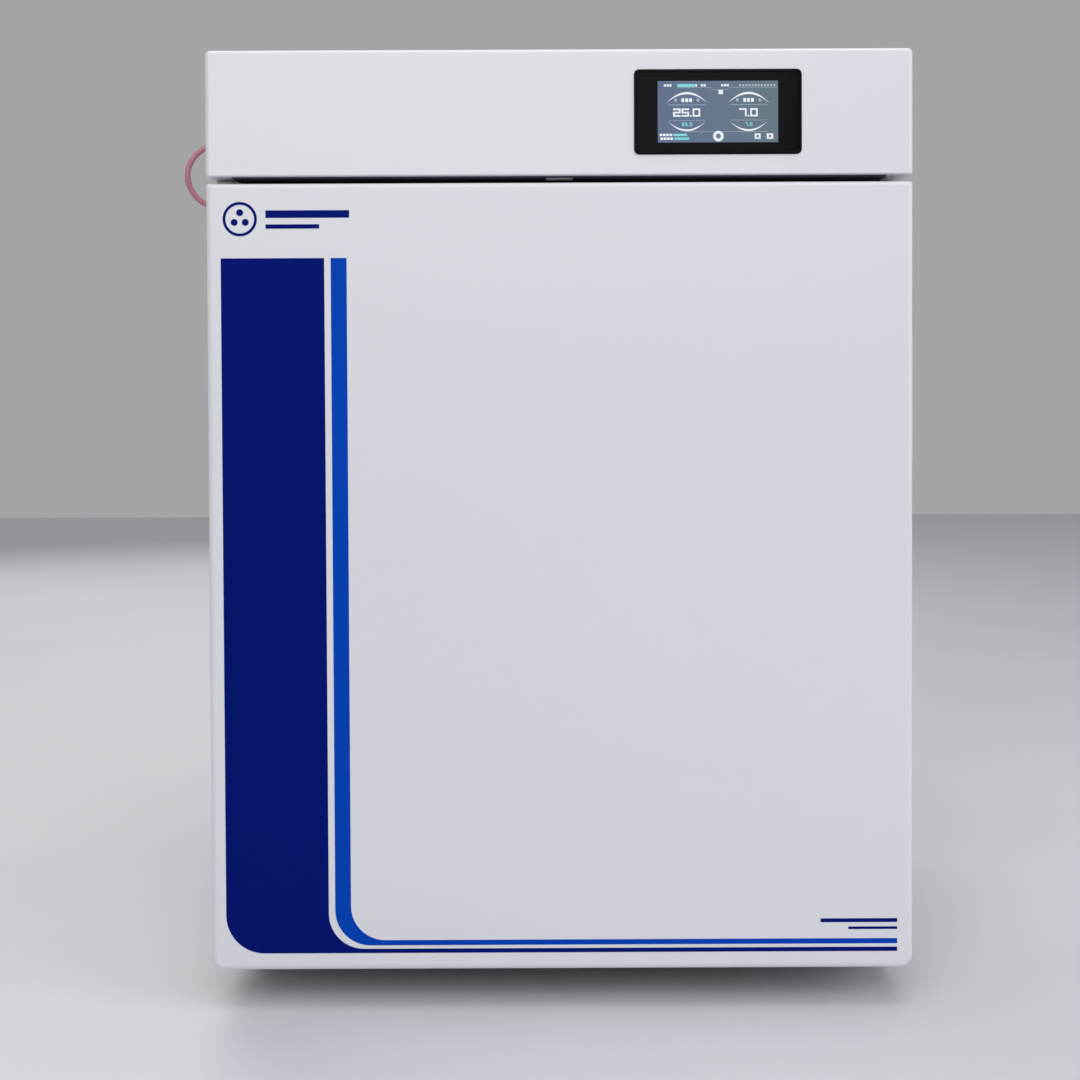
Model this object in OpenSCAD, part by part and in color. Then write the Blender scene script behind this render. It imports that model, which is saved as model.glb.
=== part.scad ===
// Laboratory CO2 incubator: a floor or bench cabinet with an insulated outer door, an inner glass
// door, a stainless chamber with pull-out shelves, and a header that holds the controls.
// X runs to the right seen from the front, Y to the back and Z up; the origin is the middle of
// the footprint at floor level. All sizes are in millimetres.

/* [Cabinet] */
// Overall width across the door and the header
body_w = 660; // [620:1:720]
// Overall depth, from the display bezel to the rear bumpers
body_d = 650; // [620:1:720]
// Overall height
body_h = 900; // [880:1:1000]
// Clear height under the cabinet's base plate
foot_h = 36; // [32:1:44]
// How far the side panels stand in from the door's sides
side_inset = 3; // [2:0.5:5]
// Thickness of the painted sheet steel
sheet = 1.2; // [1:0.1:1.5]

/* [Header] */
// Height of the control header
header_h = 117.4; // [110:0.2:130]
// Gap between the header and the door
header_gap = 6.3; // [6:0.1:9]
// Radius of the header's top corners and of the front's vertical edges
edge_r = 5; // [4:0.5:12]

/* [Outer door] */
// Thickness of the outer door without its gasket
door_t = 56.5; // [54:0.5:62]
// Space that the door gasket fills between the door and the front frame
gasket_gap = 8; // [7:0.5:10]
// Radius of the door's bottom corners
door_corner_r = 12; // [8:1:16]
// Distance of the outer door's hinge axis from the door's side
door_hinge_inset = 16; // [14:0.5:18]

/* [Chamber] */
// Inside width of the chamber
chamber_w = 516; // [500:2:530]
// Height of the chamber floor above the ground
chamber_floor = 105; // [104:1:112]
// Inside height of the chamber
chamber_h = 610; // [600:2:620]
// Where the chamber's rear wall stands
chamber_back = 232; // [220:1:236]
// Cove radius of the chamber's corners
cove_r = 20; // [12:1:26]

/* [Shelves] */
// Height of the lowest of the three shelf levels
first_shelf = 230; // [226:1:240]
// Distance from one shelf level to the next
shelf_pitch = 140; // [130:1:142]

/* [Display] */
// Width of the display bezel
bezel_w = 156.2; // [150:0.2:170]
// Height of the display bezel
bezel_h = 79.1; // [70:0.1:84]
// Distance from the cabinet's middle to the display's middle
bezel_x = 147.9; // [120:0.1:200]

/* [Hidden] */
$fn = 48;
slack = 0.2;        // between pieces that lie side by side
touch = 0.3;        // between a soft face and what it seals on
run_fit = 0.05;     // radial clearance of a pin or shaft in its bore

// Main planes
side_x = body_w / 2;                    // door and header sides
case_x = side_x - side_inset;           // outside of the cabinet's side panels
bezel_y = -body_d / 2;                  // front of the display bezel
face_y = bezel_y + 1.5;                 // front of the door and of the header
door_back = face_y + door_t;            // back of the outer door
frame_y = door_back + gasket_gap;       // front of the front frame
frame_t = 18;
bumper_y = body_d / 2;                  // rearmost point
rear_y = bumper_y - 25;                 // outside of the rear panel
header_z = body_h - header_h;           // underside of the header
door_top = header_z - header_gap;
door_low = foot_h + 1.2;
base_top = foot_h + 2;
frame_top = door_top + 1.9;
chamber_x = chamber_w / 2;
chamber_top = chamber_floor + chamber_h;
liner_t = 1.5;

// Inner door and its recess in the front frame
recess_x = 294;
recess_low = chamber_floor - 19;
recess_top = chamber_top + 19;
recess_y = frame_y + 14;               // floor of the recess, where the inner gasket lies
glass_t = 5;
glass_back = recess_y - 2;
glass_front = glass_back - glass_t;
glass_left = -274;
glass_right = 280;
glass_low = recess_low + 4;
glass_top = recess_top - 4;
glass_pivot = [-284, glass_back - 4];
clamp_levels = [180, 640];              // where the glass door's two hinges sit
latch_x = 262;
latch_z = (glass_low + glass_top) / 2;
latch_reach = 24;

// Outer door hinge and handle
door_pivot = [-side_x + door_hinge_inset, door_back - 18];
pin_r = 4;
bush_r = 7;
bush_l = 20;
handle_z = [520, 627];                  // clear height of the grip recess
handle_y = [-310, -286];                // clear mouth of the grip recess
handle_x = 300;                         // bottom of the grip recess
handle_wall = 2;
undercut_y = -318;                      // how far the finger space reaches behind the front
undercut_x = 318;

// Header fittings
bezel_z = 840.9;
bezel_r = 5;
bezel_rim = 3;
motor = [0, 30];                        // fan axis
fan_r = 55;
fan_low = 686;
fan_top = 708;
plenum_low = 680;
shaft_r = 4;
port_z = 828;                           // height of the rear connections
inlet_x = 250;                          // mains inlet
rocker_at = [190, 302, port_z];
data_x = 120;                           // data port
gas_x = -200;                           // gas inlet
sample_x = -150;                        // sample port
port_bore = 5;                          // radius of a gas port's hole in the rear cover
access_at = [-180, 600];                // access port, x and z
access_hole_r = 17.2;
bumper_x = 240;
bumper_levels = [120, 720];
bumper_r = 14;
screw_x = 300;
screw_levels = [70, 280, 500, 740];
foot_at = [[-290, -185], [290, -185], [-290, 260], [290, 260]];
stud_r = 6;
foot_r = 25;
foot_pad_h = 10;

// Painted film on the door's front
film = 0.2;
graphic_top = 706.5;
navy_x = [-316.1, -219.6];
navy_low = 53.6;
navy_bar = 4;
navy_outer_r = 36;
navy_inner_r = 33;
blue_x = [-213.5, -198.7];
blue_low = 60.9;
blue_bar = 4.8;
blue_outer_r = 33;
blue_inner_r = 32;
graphic_right = 315;
emblem_at = [-298, 743];

// Gas hose: a loop from the header's side to the cabinet's side
hose_r = 3;
barb_tip = -342;
hose_y = -175;
hose_high = 836;
hose_low = 771;
hose_path = [
    [-342, -175, 836], [-344, -175, 836], [-346.5, -175, 836], [-355, -175.5, 835],
    [-362.5, -176.5, 831.5], [-369.5, -178, 826.5], [-374.5, -179.5, 819.5], [-378, -180.5, 812],
    [-379, -181, 803.5], [-378, -180.5, 795], [-374.5, -179.5, 787.5], [-369.5, -178, 780.5],
    [-362.5, -176.5, 775.5], [-355, -175.5, 772], [-346.5, -175, 771], [-344, -175, 771],
    [-342, -175, 771]
];

// ---- helpers ----

// Box from its lowest to its highest corner
module block(low, high) {
    translate(low) cube(high - low);
}

// Round bars along each axis
module rod_x(x0, x1, y, z, r) {
    translate([x0, y, z]) rotate([0, 90, 0]) cylinder(h = x1 - x0, r = r);
}
module rod_y(x, y0, y1, z, r) {
    translate([x, y1, z]) rotate([90, 0, 0]) cylinder(h = y1 - y0, r = r);
}
module rod_z(x, y, z0, z1, r) {
    translate([x, y, z0]) cylinder(h = z1 - z0, r = r);
}

// Stands a front-view outline up and gives it depth from y0 to y1
module along_y(y0, y1) {
    translate([0, y1, 0]) rotate([90, 0, 0]) linear_extrude(y1 - y0) children();
}

// Outline with four round corners, about its own middle
module rounded_rect(w, h, r) {
    square([w - 2 * r, h], center = true);
    square([w, h - 2 * r], center = true);
    for (sx = [-1, 1], sz = [-1, 1])
        translate([sx * (w / 2 - r), sz * (h / 2 - r)]) circle(r);
}

// Outline between two x and two z values, with its own top and bottom corner radii
module panel_outline(half_w, low, top, low_r, top_r) {
    translate([-half_w, low + low_r]) square([2 * half_w, top - low - low_r - top_r]);
    translate([-half_w + low_r, low]) square([2 * (half_w - low_r), low_r]);
    translate([-half_w + top_r, top - top_r]) square([2 * (half_w - top_r), top_r]);
    for (s = [-1, 1]) {
        translate([s * (half_w - low_r), low + low_r]) circle(low_r);
        translate([s * (half_w - top_r), top - top_r]) circle(top_r);
    }
}

// Plan of a panel whose two front edges are rounded
module fronted_plan(half_w, front, back, r) {
    translate([-half_w, front + r]) square([2 * half_w, back - front - r]);
    translate([-half_w + r, front]) square([2 * (half_w - r), r]);
    for (s = [-1, 1])
        translate([s * (half_w - r), front + r]) circle(r);
}

// Solid block with rounded front edges and a rounded front-view outline
module fronted_block(half_w, low, top, low_r, top_r, front, back, r) {
    intersection() {
        translate([0, 0, low - 1]) linear_extrude(top - low + 2) fronted_plan(half_w, front, back, r);
        along_y(front - 1, back + 1) panel_outline(half_w, low, top, low_r, top_r);
    }
}

// Flat ring seen from the front: outer and inner half widths, and z limits
module seal_ring(y0, y1, outer_x, outer_z, width, r) {
    h = outer_z[1] - outer_z[0];
    translate([0, 0, outer_z[0] + h / 2]) along_y(y0, y1) difference() {
        rounded_rect(2 * outer_x, h, r);
        rounded_rect(2 * (outer_x - width), h - 2 * width, max(r - width, 1));
    }
}

// ---- cabinet ----

module base_frame() {
    boss_h = 18;
    color("gainsboro") difference() {
        union() {
            block([-case_x + 1.5, frame_y + 2, foot_h], [case_x - 1.5, rear_y - 1.5, base_top]);
            for (p = foot_at) rod_z(p[0], p[1], base_top - 0.5, base_top + boss_h, 12);
        }
        for (p = foot_at) rod_z(p[0], p[1], foot_h - 1, base_top + boss_h + 1, stud_r + run_fit);
    }
}

// Side sheet with a folded front flange; side is -1 for left and 1 for right
module side_panel(side) {
    flange = 8;
    x0 = side > 0 ? case_x - sheet : -case_x;
    f0 = side > 0 ? case_x - flange : -case_x;
    block([x0, frame_y, foot_h], [x0 + sheet, rear_y - sheet, header_z - slack]);
    block([f0, frame_y, foot_h], [f0 + flange, frame_y + sheet, header_z - slack]);
}

module left_side_panel() {
    color("whitesmoke") side_panel(-1);
}

module right_side_panel() {
    color("whitesmoke") side_panel(1);
}

module rear_panel() {
    color("whitesmoke") difference() {
        block([-case_x + 0.2, rear_y - sheet, foot_h], [case_x - 0.2, rear_y, header_z - slack]);
        rod_y(access_at[0], rear_y - 3, rear_y + 1, access_at[1], access_hole_r);
    }
}

module front_frame() {
    half_w = case_x - 8.2;
    hole_x = chamber_x + liner_t + slack;
    color("dimgray") difference() {
        block([-half_w, frame_y, base_top + slack], [half_w, frame_y + frame_t, frame_top]);
        block([-recess_x, frame_y - 1, recess_low], [recess_x, recess_y, recess_top]);
        block([-hole_x, frame_y - 1, chamber_floor - liner_t - slack],
              [hole_x, frame_y + frame_t + 1, chamber_top + liner_t + slack]);
    }
}

module chamber_insulation() {
    front = frame_y + frame_t + slack;
    back = rear_y - sheet - 0.8;
    wall_x = chamber_x + liner_t + 0.8;
    out_x = case_x - sheet - slack;
    floor_z = chamber_floor - liner_t - 0.8;
    roof_z = chamber_top + liner_t + 0.8;
    slab_top = header_z - 4;
    color("khaki") {
        for (s = [-1, 1])
            block([s > 0 ? wall_x : -out_x, front, 60], [s > 0 ? out_x : -wall_x, back, slab_top]);
        block([-wall_x + slack, front, base_top + 2], [wall_x - slack, back, floor_z]);
        difference() {
            block([-wall_x + slack, front, roof_z], [wall_x - slack, back, slab_top]);
            rod_z(motor[0], motor[1], roof_z - 1, slab_top + 1, 10);
        }
        difference() {
            block([-wall_x + slack, chamber_back + liner_t + 0.8, floor_z + slack],
                  [wall_x - slack, back, roof_z - slack]);
            rod_y(access_at[0], chamber_back, back + 1, access_at[1], access_hole_r);
        }
    }
}

// Folded and welded stainless box with coved corners, open to the front
module chamber_liner() {
    mid_z = chamber_floor + chamber_h / 2;
    color("silver") difference() {
        translate([0, 0, mid_z]) along_y(recess_y, chamber_back + liner_t)
            rounded_rect(chamber_w + 2 * liner_t, chamber_h + 2 * liner_t, cove_r + liner_t);
        translate([0, 0, mid_z]) along_y(recess_y - 1, chamber_back)
            rounded_rect(chamber_w, chamber_h, cove_r);
        rod_z(motor[0], motor[1], chamber_top - 1, chamber_top + 5, 6);
        rod_y(access_at[0], chamber_back - 1, chamber_back + 5, access_at[1], access_hole_r);
    }
}

// Foil heaters on the outside of the chamber's two sides and its floor
module wall_heaters() {
    foil = 0.4;
    gap = chamber_x + liner_t + slack;
    floor_half_w = 200;
    y0 = -200;
    y1 = 190;
    color("orange") {
        for (s = [-1, 1])
            block([s > 0 ? gap : -gap - foil, y0, chamber_floor + 40],
                  [s > 0 ? gap + foil : -gap, y1, chamber_top - 60]);
        block([-floor_half_w, y0, chamber_floor - liner_t - slack - foil],
              [floor_half_w, y1, chamber_floor - liner_t - slack]);
    }
}

// Post and rail racks on both side walls; each rail has a stop at its back end
module shelf_racks() {
    post_y = [-190, 170];
    rail = [-212, 208];
    reach = 15;
    color("silver") for (s = [-1, 1]) mirror([s > 0 ? 1 : 0, 0, 0]) {
        wall = -chamber_x + 2;
        for (y = post_y)
            block([wall, y, chamber_floor + 25], [wall + 2, y + 16, first_shelf + 2 * shelf_pitch + 40]);
        for (i = [0:2]) {
            z = first_shelf + i * shelf_pitch;
            block([wall, rail[0], z - 1.5], [wall + reach, rail[1], z]);
            block([wall + 2, rail[0], z - 14], [wall + 3.5, rail[1], z]);
            block([wall + 2, rail[1] - 0.5, z - 14], [wall + reach, rail[1] + 1.5, z + 8]);
        }
        for (y = post_y, z = [chamber_floor + 60, first_shelf + 2 * shelf_pitch + 20])
            rod_x(-chamber_x + 0.05, wall + 5, y + 8, z, 4);
    }
}

// Shelf with folded edges; the rails carry its two sides
module shelf(level) {
    z = first_shelf + level * shelf_pitch + touch;
    half_w = 246;
    y0 = -222;
    y1 = 206;
    lip = 12;
    lip_x = 236;
    color("silver") {
        block([-half_w, y0, z], [half_w, y1, z + 1.5]);
        block([-lip_x, y0, z - lip], [lip_x, y0 + 1.5, z]);
        block([-lip_x, y1 - 1.5, z - lip], [lip_x, y1, z]);
    }
}

module humidity_pan() {
    z0 = chamber_floor + touch;
    z1 = z0 + 44;
    wall = 1.5;
    half_w = 215;
    y0 = -200;
    y1 = 190;
    rim = 6;
    color("silver") difference() {
        union() {
            block([-half_w, y0, z0], [half_w, y1, z1]);
            block([-half_w - rim, y0 - rim, z1 - wall], [half_w + rim, y1 + rim, z1]);
        }
        block([-half_w + wall, y0 + wall, z0 + wall], [half_w - wall, y1 - wall, z1 + 1]);
    }
}

// Tray under the chamber's ceiling that carries the fan's air to both side walls
module fan_plenum() {
    half_w = 200;
    y0 = -150;
    y1 = 215;
    top = chamber_top - slack;
    color("silver") difference() {
        block([-half_w, y0, plenum_low], [half_w, y1, top]);
        block([-half_w + sheet, y0 + sheet, plenum_low + sheet], [half_w - sheet, y1 - sheet, top + 1]);
        rod_z(motor[0], motor[1], plenum_low - 1, plenum_low + 5, 46);
        for (y = [y0 + 40:30:y1 - 40])
            block([-half_w - 1, y, plenum_low + 10], [half_w + 1, y + 18, plenum_low + 24]);
    }
}

module hepa_filter() {
    color("white") difference() {
        union() {
            rod_z(motor[0], motor[1], plenum_low - 46, plenum_low - slack, 78);
            rod_z(motor[0], motor[1], plenum_low - 6, plenum_low - slack, 85);
            rod_z(motor[0], motor[1], plenum_low - 50, plenum_low - 44, 85);
        }
        rod_z(motor[0], motor[1], plenum_low - 30, plenum_low + 1, 44);
    }
}

module fan_motor() {
    plate_z = header_z + 7;
    color("slategray") difference() {
        union() {
            rod_z(motor[0], motor[1], plate_z, plate_z + 62, 35);
            rod_z(motor[0], motor[1], plate_z + 60, plate_z + 70, 12);
            translate([motor[0] - 45, motor[1] - 45, plate_z]) cube([90, 90, 3]);
            for (sx = [-1, 1], sy = [-1, 1])
                rod_z(motor[0] + sx * 38, motor[1] + sy * 38, header_z - slack, plate_z + 1, 5);
        }
        rod_z(motor[0], motor[1], header_z - 1, plate_z + 22, shaft_r + run_fit);
    }
}

// Infrared gas sensor and temperature probe, both hung under the plenum
module chamber_sensors() {
    color("lightgray") {
        rod_z(150, -60, plenum_low - 42, plenum_low - slack, 13);
        rod_z(150, 60, plenum_low - 40, plenum_low - slack, 3);
    }
}

// ---- inner door hardware on the front frame ----

module inner_gasket() {
    color("ivory") seal_ring(glass_back + touch, recess_y, chamber_x + 11,
                             [chamber_floor - 11, chamber_top + 11], 8, 12);
}

// Two bored hinge blocks on the left, and the latch keeper on the right
module inner_door_hardware() {
    block_h = 30;
    color("gray") {
        for (z = clamp_levels) difference() {
            block([-291, glass_pivot[1] - 5.5, z - block_h], [-277, recess_y, z]);
            rod_z(glass_pivot[0], glass_pivot[1], z - block_h - 1, z + 1, 3 + run_fit);
        }
        block([282, glass_front, latch_z - 12], [293, recess_y, latch_z + 10]);
        block([290, glass_front - 6, latch_z - 12], [293, glass_front + 1, latch_z + 10]);
        block([282, glass_front - 6, latch_z - 12], [293, glass_front - 3.5, latch_z + 10]);
    }
}

// ---- outer door hinge ----

// Bracket plate whose rounded nose carries a pin; z is its underside
module bracket_plate(z, back) {
    difference() {
        union() {
            block([-case_x + 8.5, door_pivot[1], z], [-300, back, z + 3]);
            rod_z(door_pivot[0], door_pivot[1], z, z + 3, 13);
        }
        rod_z(door_pivot[0], door_pivot[1], z - 1, z + 4, pin_r);
    }
}

module hinge_brackets() {
    color("gray") {
        bracket_plate(frame_top + slack, frame_y + frame_t - 2);
        bracket_plate(foot_h - 3 - slack, frame_y + 80);
    }
}

module hinge_pins() {
    color("lightgray") {
        rod_z(door_pivot[0], door_pivot[1], door_top - bush_l + 1, frame_top + slack + 3, pin_r);
        rod_z(door_pivot[0], door_pivot[1], foot_h - 3 - slack, door_low + bush_l - 1, pin_r);
    }
}

// Reed switch bar under the header's front edge
module door_sensor() {
    color("whitesmoke") block([-12.5, face_y + 12, header_z - 2], [12.5, face_y + 22, header_z - 0.05]);
}

// Black foam strip under the header's overhang, notched around the door sensor
module header_strip() {
    color("black") difference() {
        block([-306, face_y + 5, header_z - 1], [306, frame_y - 4, header_z - 0.05]);
        block([-13, face_y + 11, header_z - 2], [13, face_y + 23, header_z + 1]);
    }
}

// ---- header ----

module header_deck() {
    color("gainsboro") difference() {
        block([-case_x + sheet + slack, frame_y + frame_t + slack, header_z - 1.7],
              [case_x - sheet - slack, rear_y - sheet - slack, header_z - slack]);
        rod_z(motor[0], motor[1], header_z - 5, header_z + 1, 8);
    }
}

module header_shell() {
    lip_back = frame_y + 1;
    color("whitesmoke") difference() {
        fronted_block(side_x, header_z, body_h, 0.01, edge_r, face_y, rear_y, edge_r);
        difference() {
            fronted_block(side_x - sheet, header_z - 2, body_h - sheet, 0.01, edge_r - sheet,
                          face_y + sheet, rear_y + 2, edge_r - sheet);
            block([-side_x, face_y - 1, header_z - 3], [side_x, lip_back, header_z + sheet]);
        }
        translate([bezel_x, 0, bezel_z]) along_y(face_y - 1, face_y + 5)
            rounded_rect(bezel_w - 4, bezel_h - 4, bezel_r - 2);
        rod_x(-side_x - 1, -side_x + 3, hose_y, hose_high, 3.2);
    }
}

// Opening in the rear cover about a port's own height
module port_window(x, half_w, half_h) {
    block([x - half_w, rear_y - 3, port_z - half_h], [x + half_w, rear_y + 1, port_z + half_h]);
}

module header_rear_cover() {
    vent_w = 3;
    inset = sheet + slack;
    color("whitesmoke") difference() {
        along_y(rear_y - sheet, rear_y)
            panel_outline(side_x - inset, header_z + 0.5, body_h - inset, 0.01, edge_r - inset);
        for (x = [-60:12:60])
            block([x, rear_y - 3, port_z - 20], [x + vent_w, rear_y + 1, port_z + 40]);
        port_window(inlet_x, 15, 11);
        port_window(rocker_at[0], 10, 15);
        port_window(data_x, 10, 5);
        for (x = [gas_x, sample_x]) rod_y(x, rear_y - 3, rear_y + 1, port_z, port_bore);
    }
}

module display_bezel() {
    color("black") translate([bezel_x, 0, bezel_z]) difference() {
        union() {
            along_y(bezel_y, face_y) rounded_rect(bezel_w, bezel_h, bezel_r);
            along_y(face_y - 0.5, face_y + 5) rounded_rect(bezel_w - 4.4, bezel_h - 4.4, bezel_r - 2);
        }
        along_y(bezel_y - 1, face_y + 6)
            rounded_rect(bezel_w - 2 * bezel_rim, bezel_h - 2 * bezel_rim, bezel_r - 2);
    }
}

module display_screen() {
    color("darkslategray") translate([bezel_x, 0, bezel_z]) along_y(bezel_y + 0.8, face_y + 8)
        rounded_rect(bezel_w - 2 * bezel_rim - 0.2, bezel_h - 2 * bezel_rim - 0.2, bezel_r - 2);
}

module control_board() {
    z = header_z + 12;
    color("seagreen") {
        block([-260, -180, z], [-90, -50, z + 1.6]);
        for (x = [-240:44:-108], y = [-160:50:-60])
            block([x, y, z + 1.5], [x + 26, y + 24, z + 12]);
        for (x = [-254, -96], y = [-174, -56])
            rod_z(x, y, header_z - slack, z + 0.5, 3);
    }
}

module power_supply() {
    color("silver") block([120, 40, header_z - slack], [270, 150, header_z + 45]);
}

module solenoid_valve() {
    color("goldenrod") {
        block([-230, 90, header_z - slack], [-190, 120, header_z + 26]);
        rod_z(-210, 105, header_z + 25, header_z + 62, 13);
    }
}

// Round inline gas filter lying on two saddles
module gas_filter() {
    color("white") {
        rod_y(-210, 160, 200, header_z + 32, 24);
        rod_y(-210, 150, 210, header_z + 32, 4);
        block([-222, 172, header_z - slack], [-198, 188, header_z + 12]);
    }
}

// Bulkhead fitting on the rear cover: nut outside, thread inside, plain spigot for a hose
module bulkhead(x, spigot_r, spigot_l) {
    translate([x, rear_y + 6, port_z]) rotate([90, 0, 0]) cylinder(h = 6, r = 8, $fn = 6);
    rod_y(x, rear_y - 14, rear_y + 1, port_z, 4.8);
    rod_y(x, rear_y + 5, rear_y + 6 + spigot_l, port_z, spigot_r);
}

module gas_inlet() {
    color("gold") bulkhead(gas_x, 4, 16);
}

module sample_port() {
    color("gold") bulkhead(sample_x, 3, 12);
}

// Mains inlet: flange and housing around a three-blade socket, with the switch's housing beside it
module power_inlet() {
    switch_x = rocker_at[0];
    color("black") difference() {
        union() {
            block([switch_x - 12, rear_y, port_z - 17], [switch_x + 12, rear_y + 4, port_z + 17]);
            block([switch_x - 9.8, rear_y - 14, port_z - 14.8],
                  [switch_x + 9.8, rear_y + 1, port_z + 14.8]);
        }
        block([switch_x - 6.8, rear_y - 12, port_z - 11.8], [switch_x + 6.8, rear_y + 5, port_z + 11.8]);
        rod_x(switch_x - 9.2, switch_x + 9.2, rocker_at[1], port_z, 1.5 + run_fit);
    }
    color("black") difference() {
        union() {
            block([inlet_x - 24, rear_y, port_z - 14], [inlet_x + 24, rear_y + 3, port_z + 14]);
            block([inlet_x - 14.5, rear_y - 24, port_z - 10.5],
                  [inlet_x + 14.5, rear_y + 1, port_z + 10.5]);
        }
        block([inlet_x - 12, rear_y - 16, port_z - 8], [inlet_x + 12, rear_y + 4, port_z + 8]);
    }
    color("silver") for (blade_x = [inlet_x - 7, inlet_x, inlet_x + 7])
        block([blade_x - 1, rear_y - 17, port_z - 3], [blade_x + 1, rear_y - 4, port_z + 3]);
}

// Serial port shell with a hexagonal screw on each side
module data_port() {
    color("silver") {
        difference() {
            union() {
                block([data_x - 15, rear_y, port_z - 6.5], [data_x + 15, rear_y + 1, port_z + 6.5]);
                block([data_x - 9, rear_y - 10, port_z - 4.5], [data_x + 9, rear_y + 6, port_z + 4.5]);
            }
            block([data_x - 8, rear_y - 8, port_z - 3.5], [data_x + 8, rear_y + 7, port_z + 3.5]);
        }
        for (s = [-1, 1])
            translate([data_x + s * 12.3, rear_y + 5, port_z]) rotate([90, 0, 0])
                cylinder(h = 4.5, r = 2.4, $fn = 6);
    }
}

// ---- rear fittings ----

module access_tube() {
    color("silver") difference() {
        union() {
            rod_y(access_at[0], chamber_back - 2, rear_y + 1, access_at[1], 17);
            rod_y(access_at[0], rear_y, rear_y + 2, access_at[1], 25);
        }
        rod_y(access_at[0], chamber_back - 3, rear_y + 3, access_at[1], 15);
    }
}

module access_plug() {
    color("lightgray") {
        rod_y(access_at[0], rear_y - 55, rear_y + 4, access_at[1], 15 - touch);
        rod_y(access_at[0], rear_y + 2 + touch, rear_y + 12, access_at[1], 21);
    }
}

module rear_bumpers() {
    color("dimgray") for (x = [-bumper_x, bumper_x], z = bumper_levels)
        rod_y(x, rear_y, bumper_y, z, bumper_r);
}

// Countersunk screw heads: rear panel, header's rear cover and header's sides
module panel_screws() {
    head = 1.2;
    color("silver") {
        for (x = [-screw_x, screw_x], z = screw_levels)
            rod_y(x, rear_y, rear_y + head, z, 4);
        for (x = [-screw_x, screw_x], z = [header_z + 14, body_h - 22])
            rod_y(x, rear_y, rear_y + head, z, 3.5);
    }
}

// Rocker switch: a rocker with two faces, tipped to its off side, on a cross pin
module power_rocker() {
    width = 13;
    half_h = 9;
    tilt = 10;
    color("firebrick") translate(rocker_at) rotate([-tilt, 0, 0]) {
        translate([-width / 2, 0, 0]) rotate([90, 0, 90]) linear_extrude(width)
            polygon([[-5, -half_h], [2.6, -half_h], [1, 0], [2.6, half_h], [-5, half_h]]);
        rod_x(-width / 2 - 2.5, width / 2 + 2.5, 0, 0, 1.5);
    }
}

// ---- feet ----

module foot(i) {
    p = foot_at[i];
    color("black") rod_z(p[0], p[1], 0, foot_pad_h, foot_r);
    color("silver") {
        rod_z(p[0], p[1], foot_pad_h - 0.5, base_top + 16, stud_r);
        translate([p[0], p[1], foot_pad_h - 0.5]) cylinder(h = 8, r = 12, $fn = 6);
    }
}

// ---- hose on the left side ----

module hose_barbs() {
    color("silver") {
        rod_x(-side_x - 6, -side_x, hose_y, hose_high, 6);
        rod_x(barb_tip, -side_x, hose_y, hose_high, hose_r);
        rod_x(-case_x - 6, -case_x, hose_y, hose_low, 6);
        rod_x(barb_tip, -case_x, hose_y, hose_low, hose_r);
    }
}

// Direction of the path at point i
function path_dir(p, i) =
    let (a = p[max(i - 1, 0)], b = p[min(i + 1, len(p) - 1)]) (b - a) / norm(b - a);

// Ring of sides points around point i, square to the path
function path_ring(p, i, r, sides) =
    let (t = path_dir(p, i), n = cross([0, 1, 0], t) / norm(cross([0, 1, 0], t)), m = cross(t, n))
    [for (k = [0:sides - 1]) p[i] + r * (cos(360 * k / sides) * n + sin(360 * k / sides) * m)];

module swept_tube(p, r, sides) {
    rings = len(p);
    points = [for (i = [0:rings - 1]) each path_ring(p, i, r, sides)];
    side_faces = [
        for (i = [0:rings - 2], k = [0:sides - 1])
            let (a = i * sides + k, b = i * sides + (k + 1) % sides) [a, a + sides, b + sides, b]
    ];
    first_cap = [for (k = [0:sides - 1]) k];
    last_cap = [for (k = [sides - 1:-1:0]) (rings - 1) * sides + k];
    polyhedron(points, concat(side_faces, [first_cap, last_cap]));
}

module gas_hose() {
    color("rosybrown") swept_tube(hose_path, hose_r, 10);
}

// ---- outer door ----

module door_shape(inset, front, back) {
    fronted_block(side_x - inset, door_low + inset, door_top - inset, door_corner_r - inset,
                  max(2 - inset, 0.3), front, back, edge_r - inset);
}

// Everything cut out of the door for the grip
module grip_cut(grow) {
    block([undercut_x - 4 - grow, handle_y[0] - grow, handle_z[0] - grow],
          [side_x + 5, handle_y[1] + grow, handle_z[1] + grow]);
    block([handle_x - grow, undercut_y - grow, handle_z[0] - grow],
          [undercut_x + grow, handle_y[1] + grow, handle_z[1] + grow]);
}

module bush_cut(r) {
    rod_z(door_pivot[0], door_pivot[1], door_top - bush_l - 2, door_top + 1, r);
    rod_z(door_pivot[0], door_pivot[1], door_low - 1, door_low + bush_l + 2, r);
}

// Folded steel tray that forms the door's front and its four edges
module door_skin() {
    color("whitesmoke") difference() {
        door_shape(0, face_y, door_back);
        door_shape(sheet, face_y + sheet, door_back + 2);
        bush_cut(bush_r);
        grip_cut(handle_wall);
    }
}

// Inner panel with a raised middle
module door_liner() {
    plate_t = 1.6;
    raised = 3;
    pad_w = 540;
    pad_h = 628;
    pad_z = chamber_floor + chamber_h / 2;
    inset = sheet + slack;
    color("gainsboro") difference() {
        union() {
            along_y(door_back - plate_t, door_back)
                panel_outline(side_x - inset, door_low + inset, door_top - inset, door_corner_r - inset, 1);
            translate([0, 0, pad_z]) along_y(door_back - plate_t, door_back + raised)
                rounded_rect(pad_w, pad_h, 22);
        }
        translate([0, 0, pad_z]) along_y(door_back - plate_t - 1, door_back + raised - plate_t)
            rounded_rect(pad_w - 2 * plate_t, pad_h - 2 * plate_t, 22 - plate_t);
    }
}

module door_insulation() {
    color("khaki") difference() {
        door_shape(sheet + slack, face_y + sheet + slack, door_back - 1.8);
        bush_cut(bush_r + slack);
        grip_cut(handle_wall + slack);
    }
}

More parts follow.
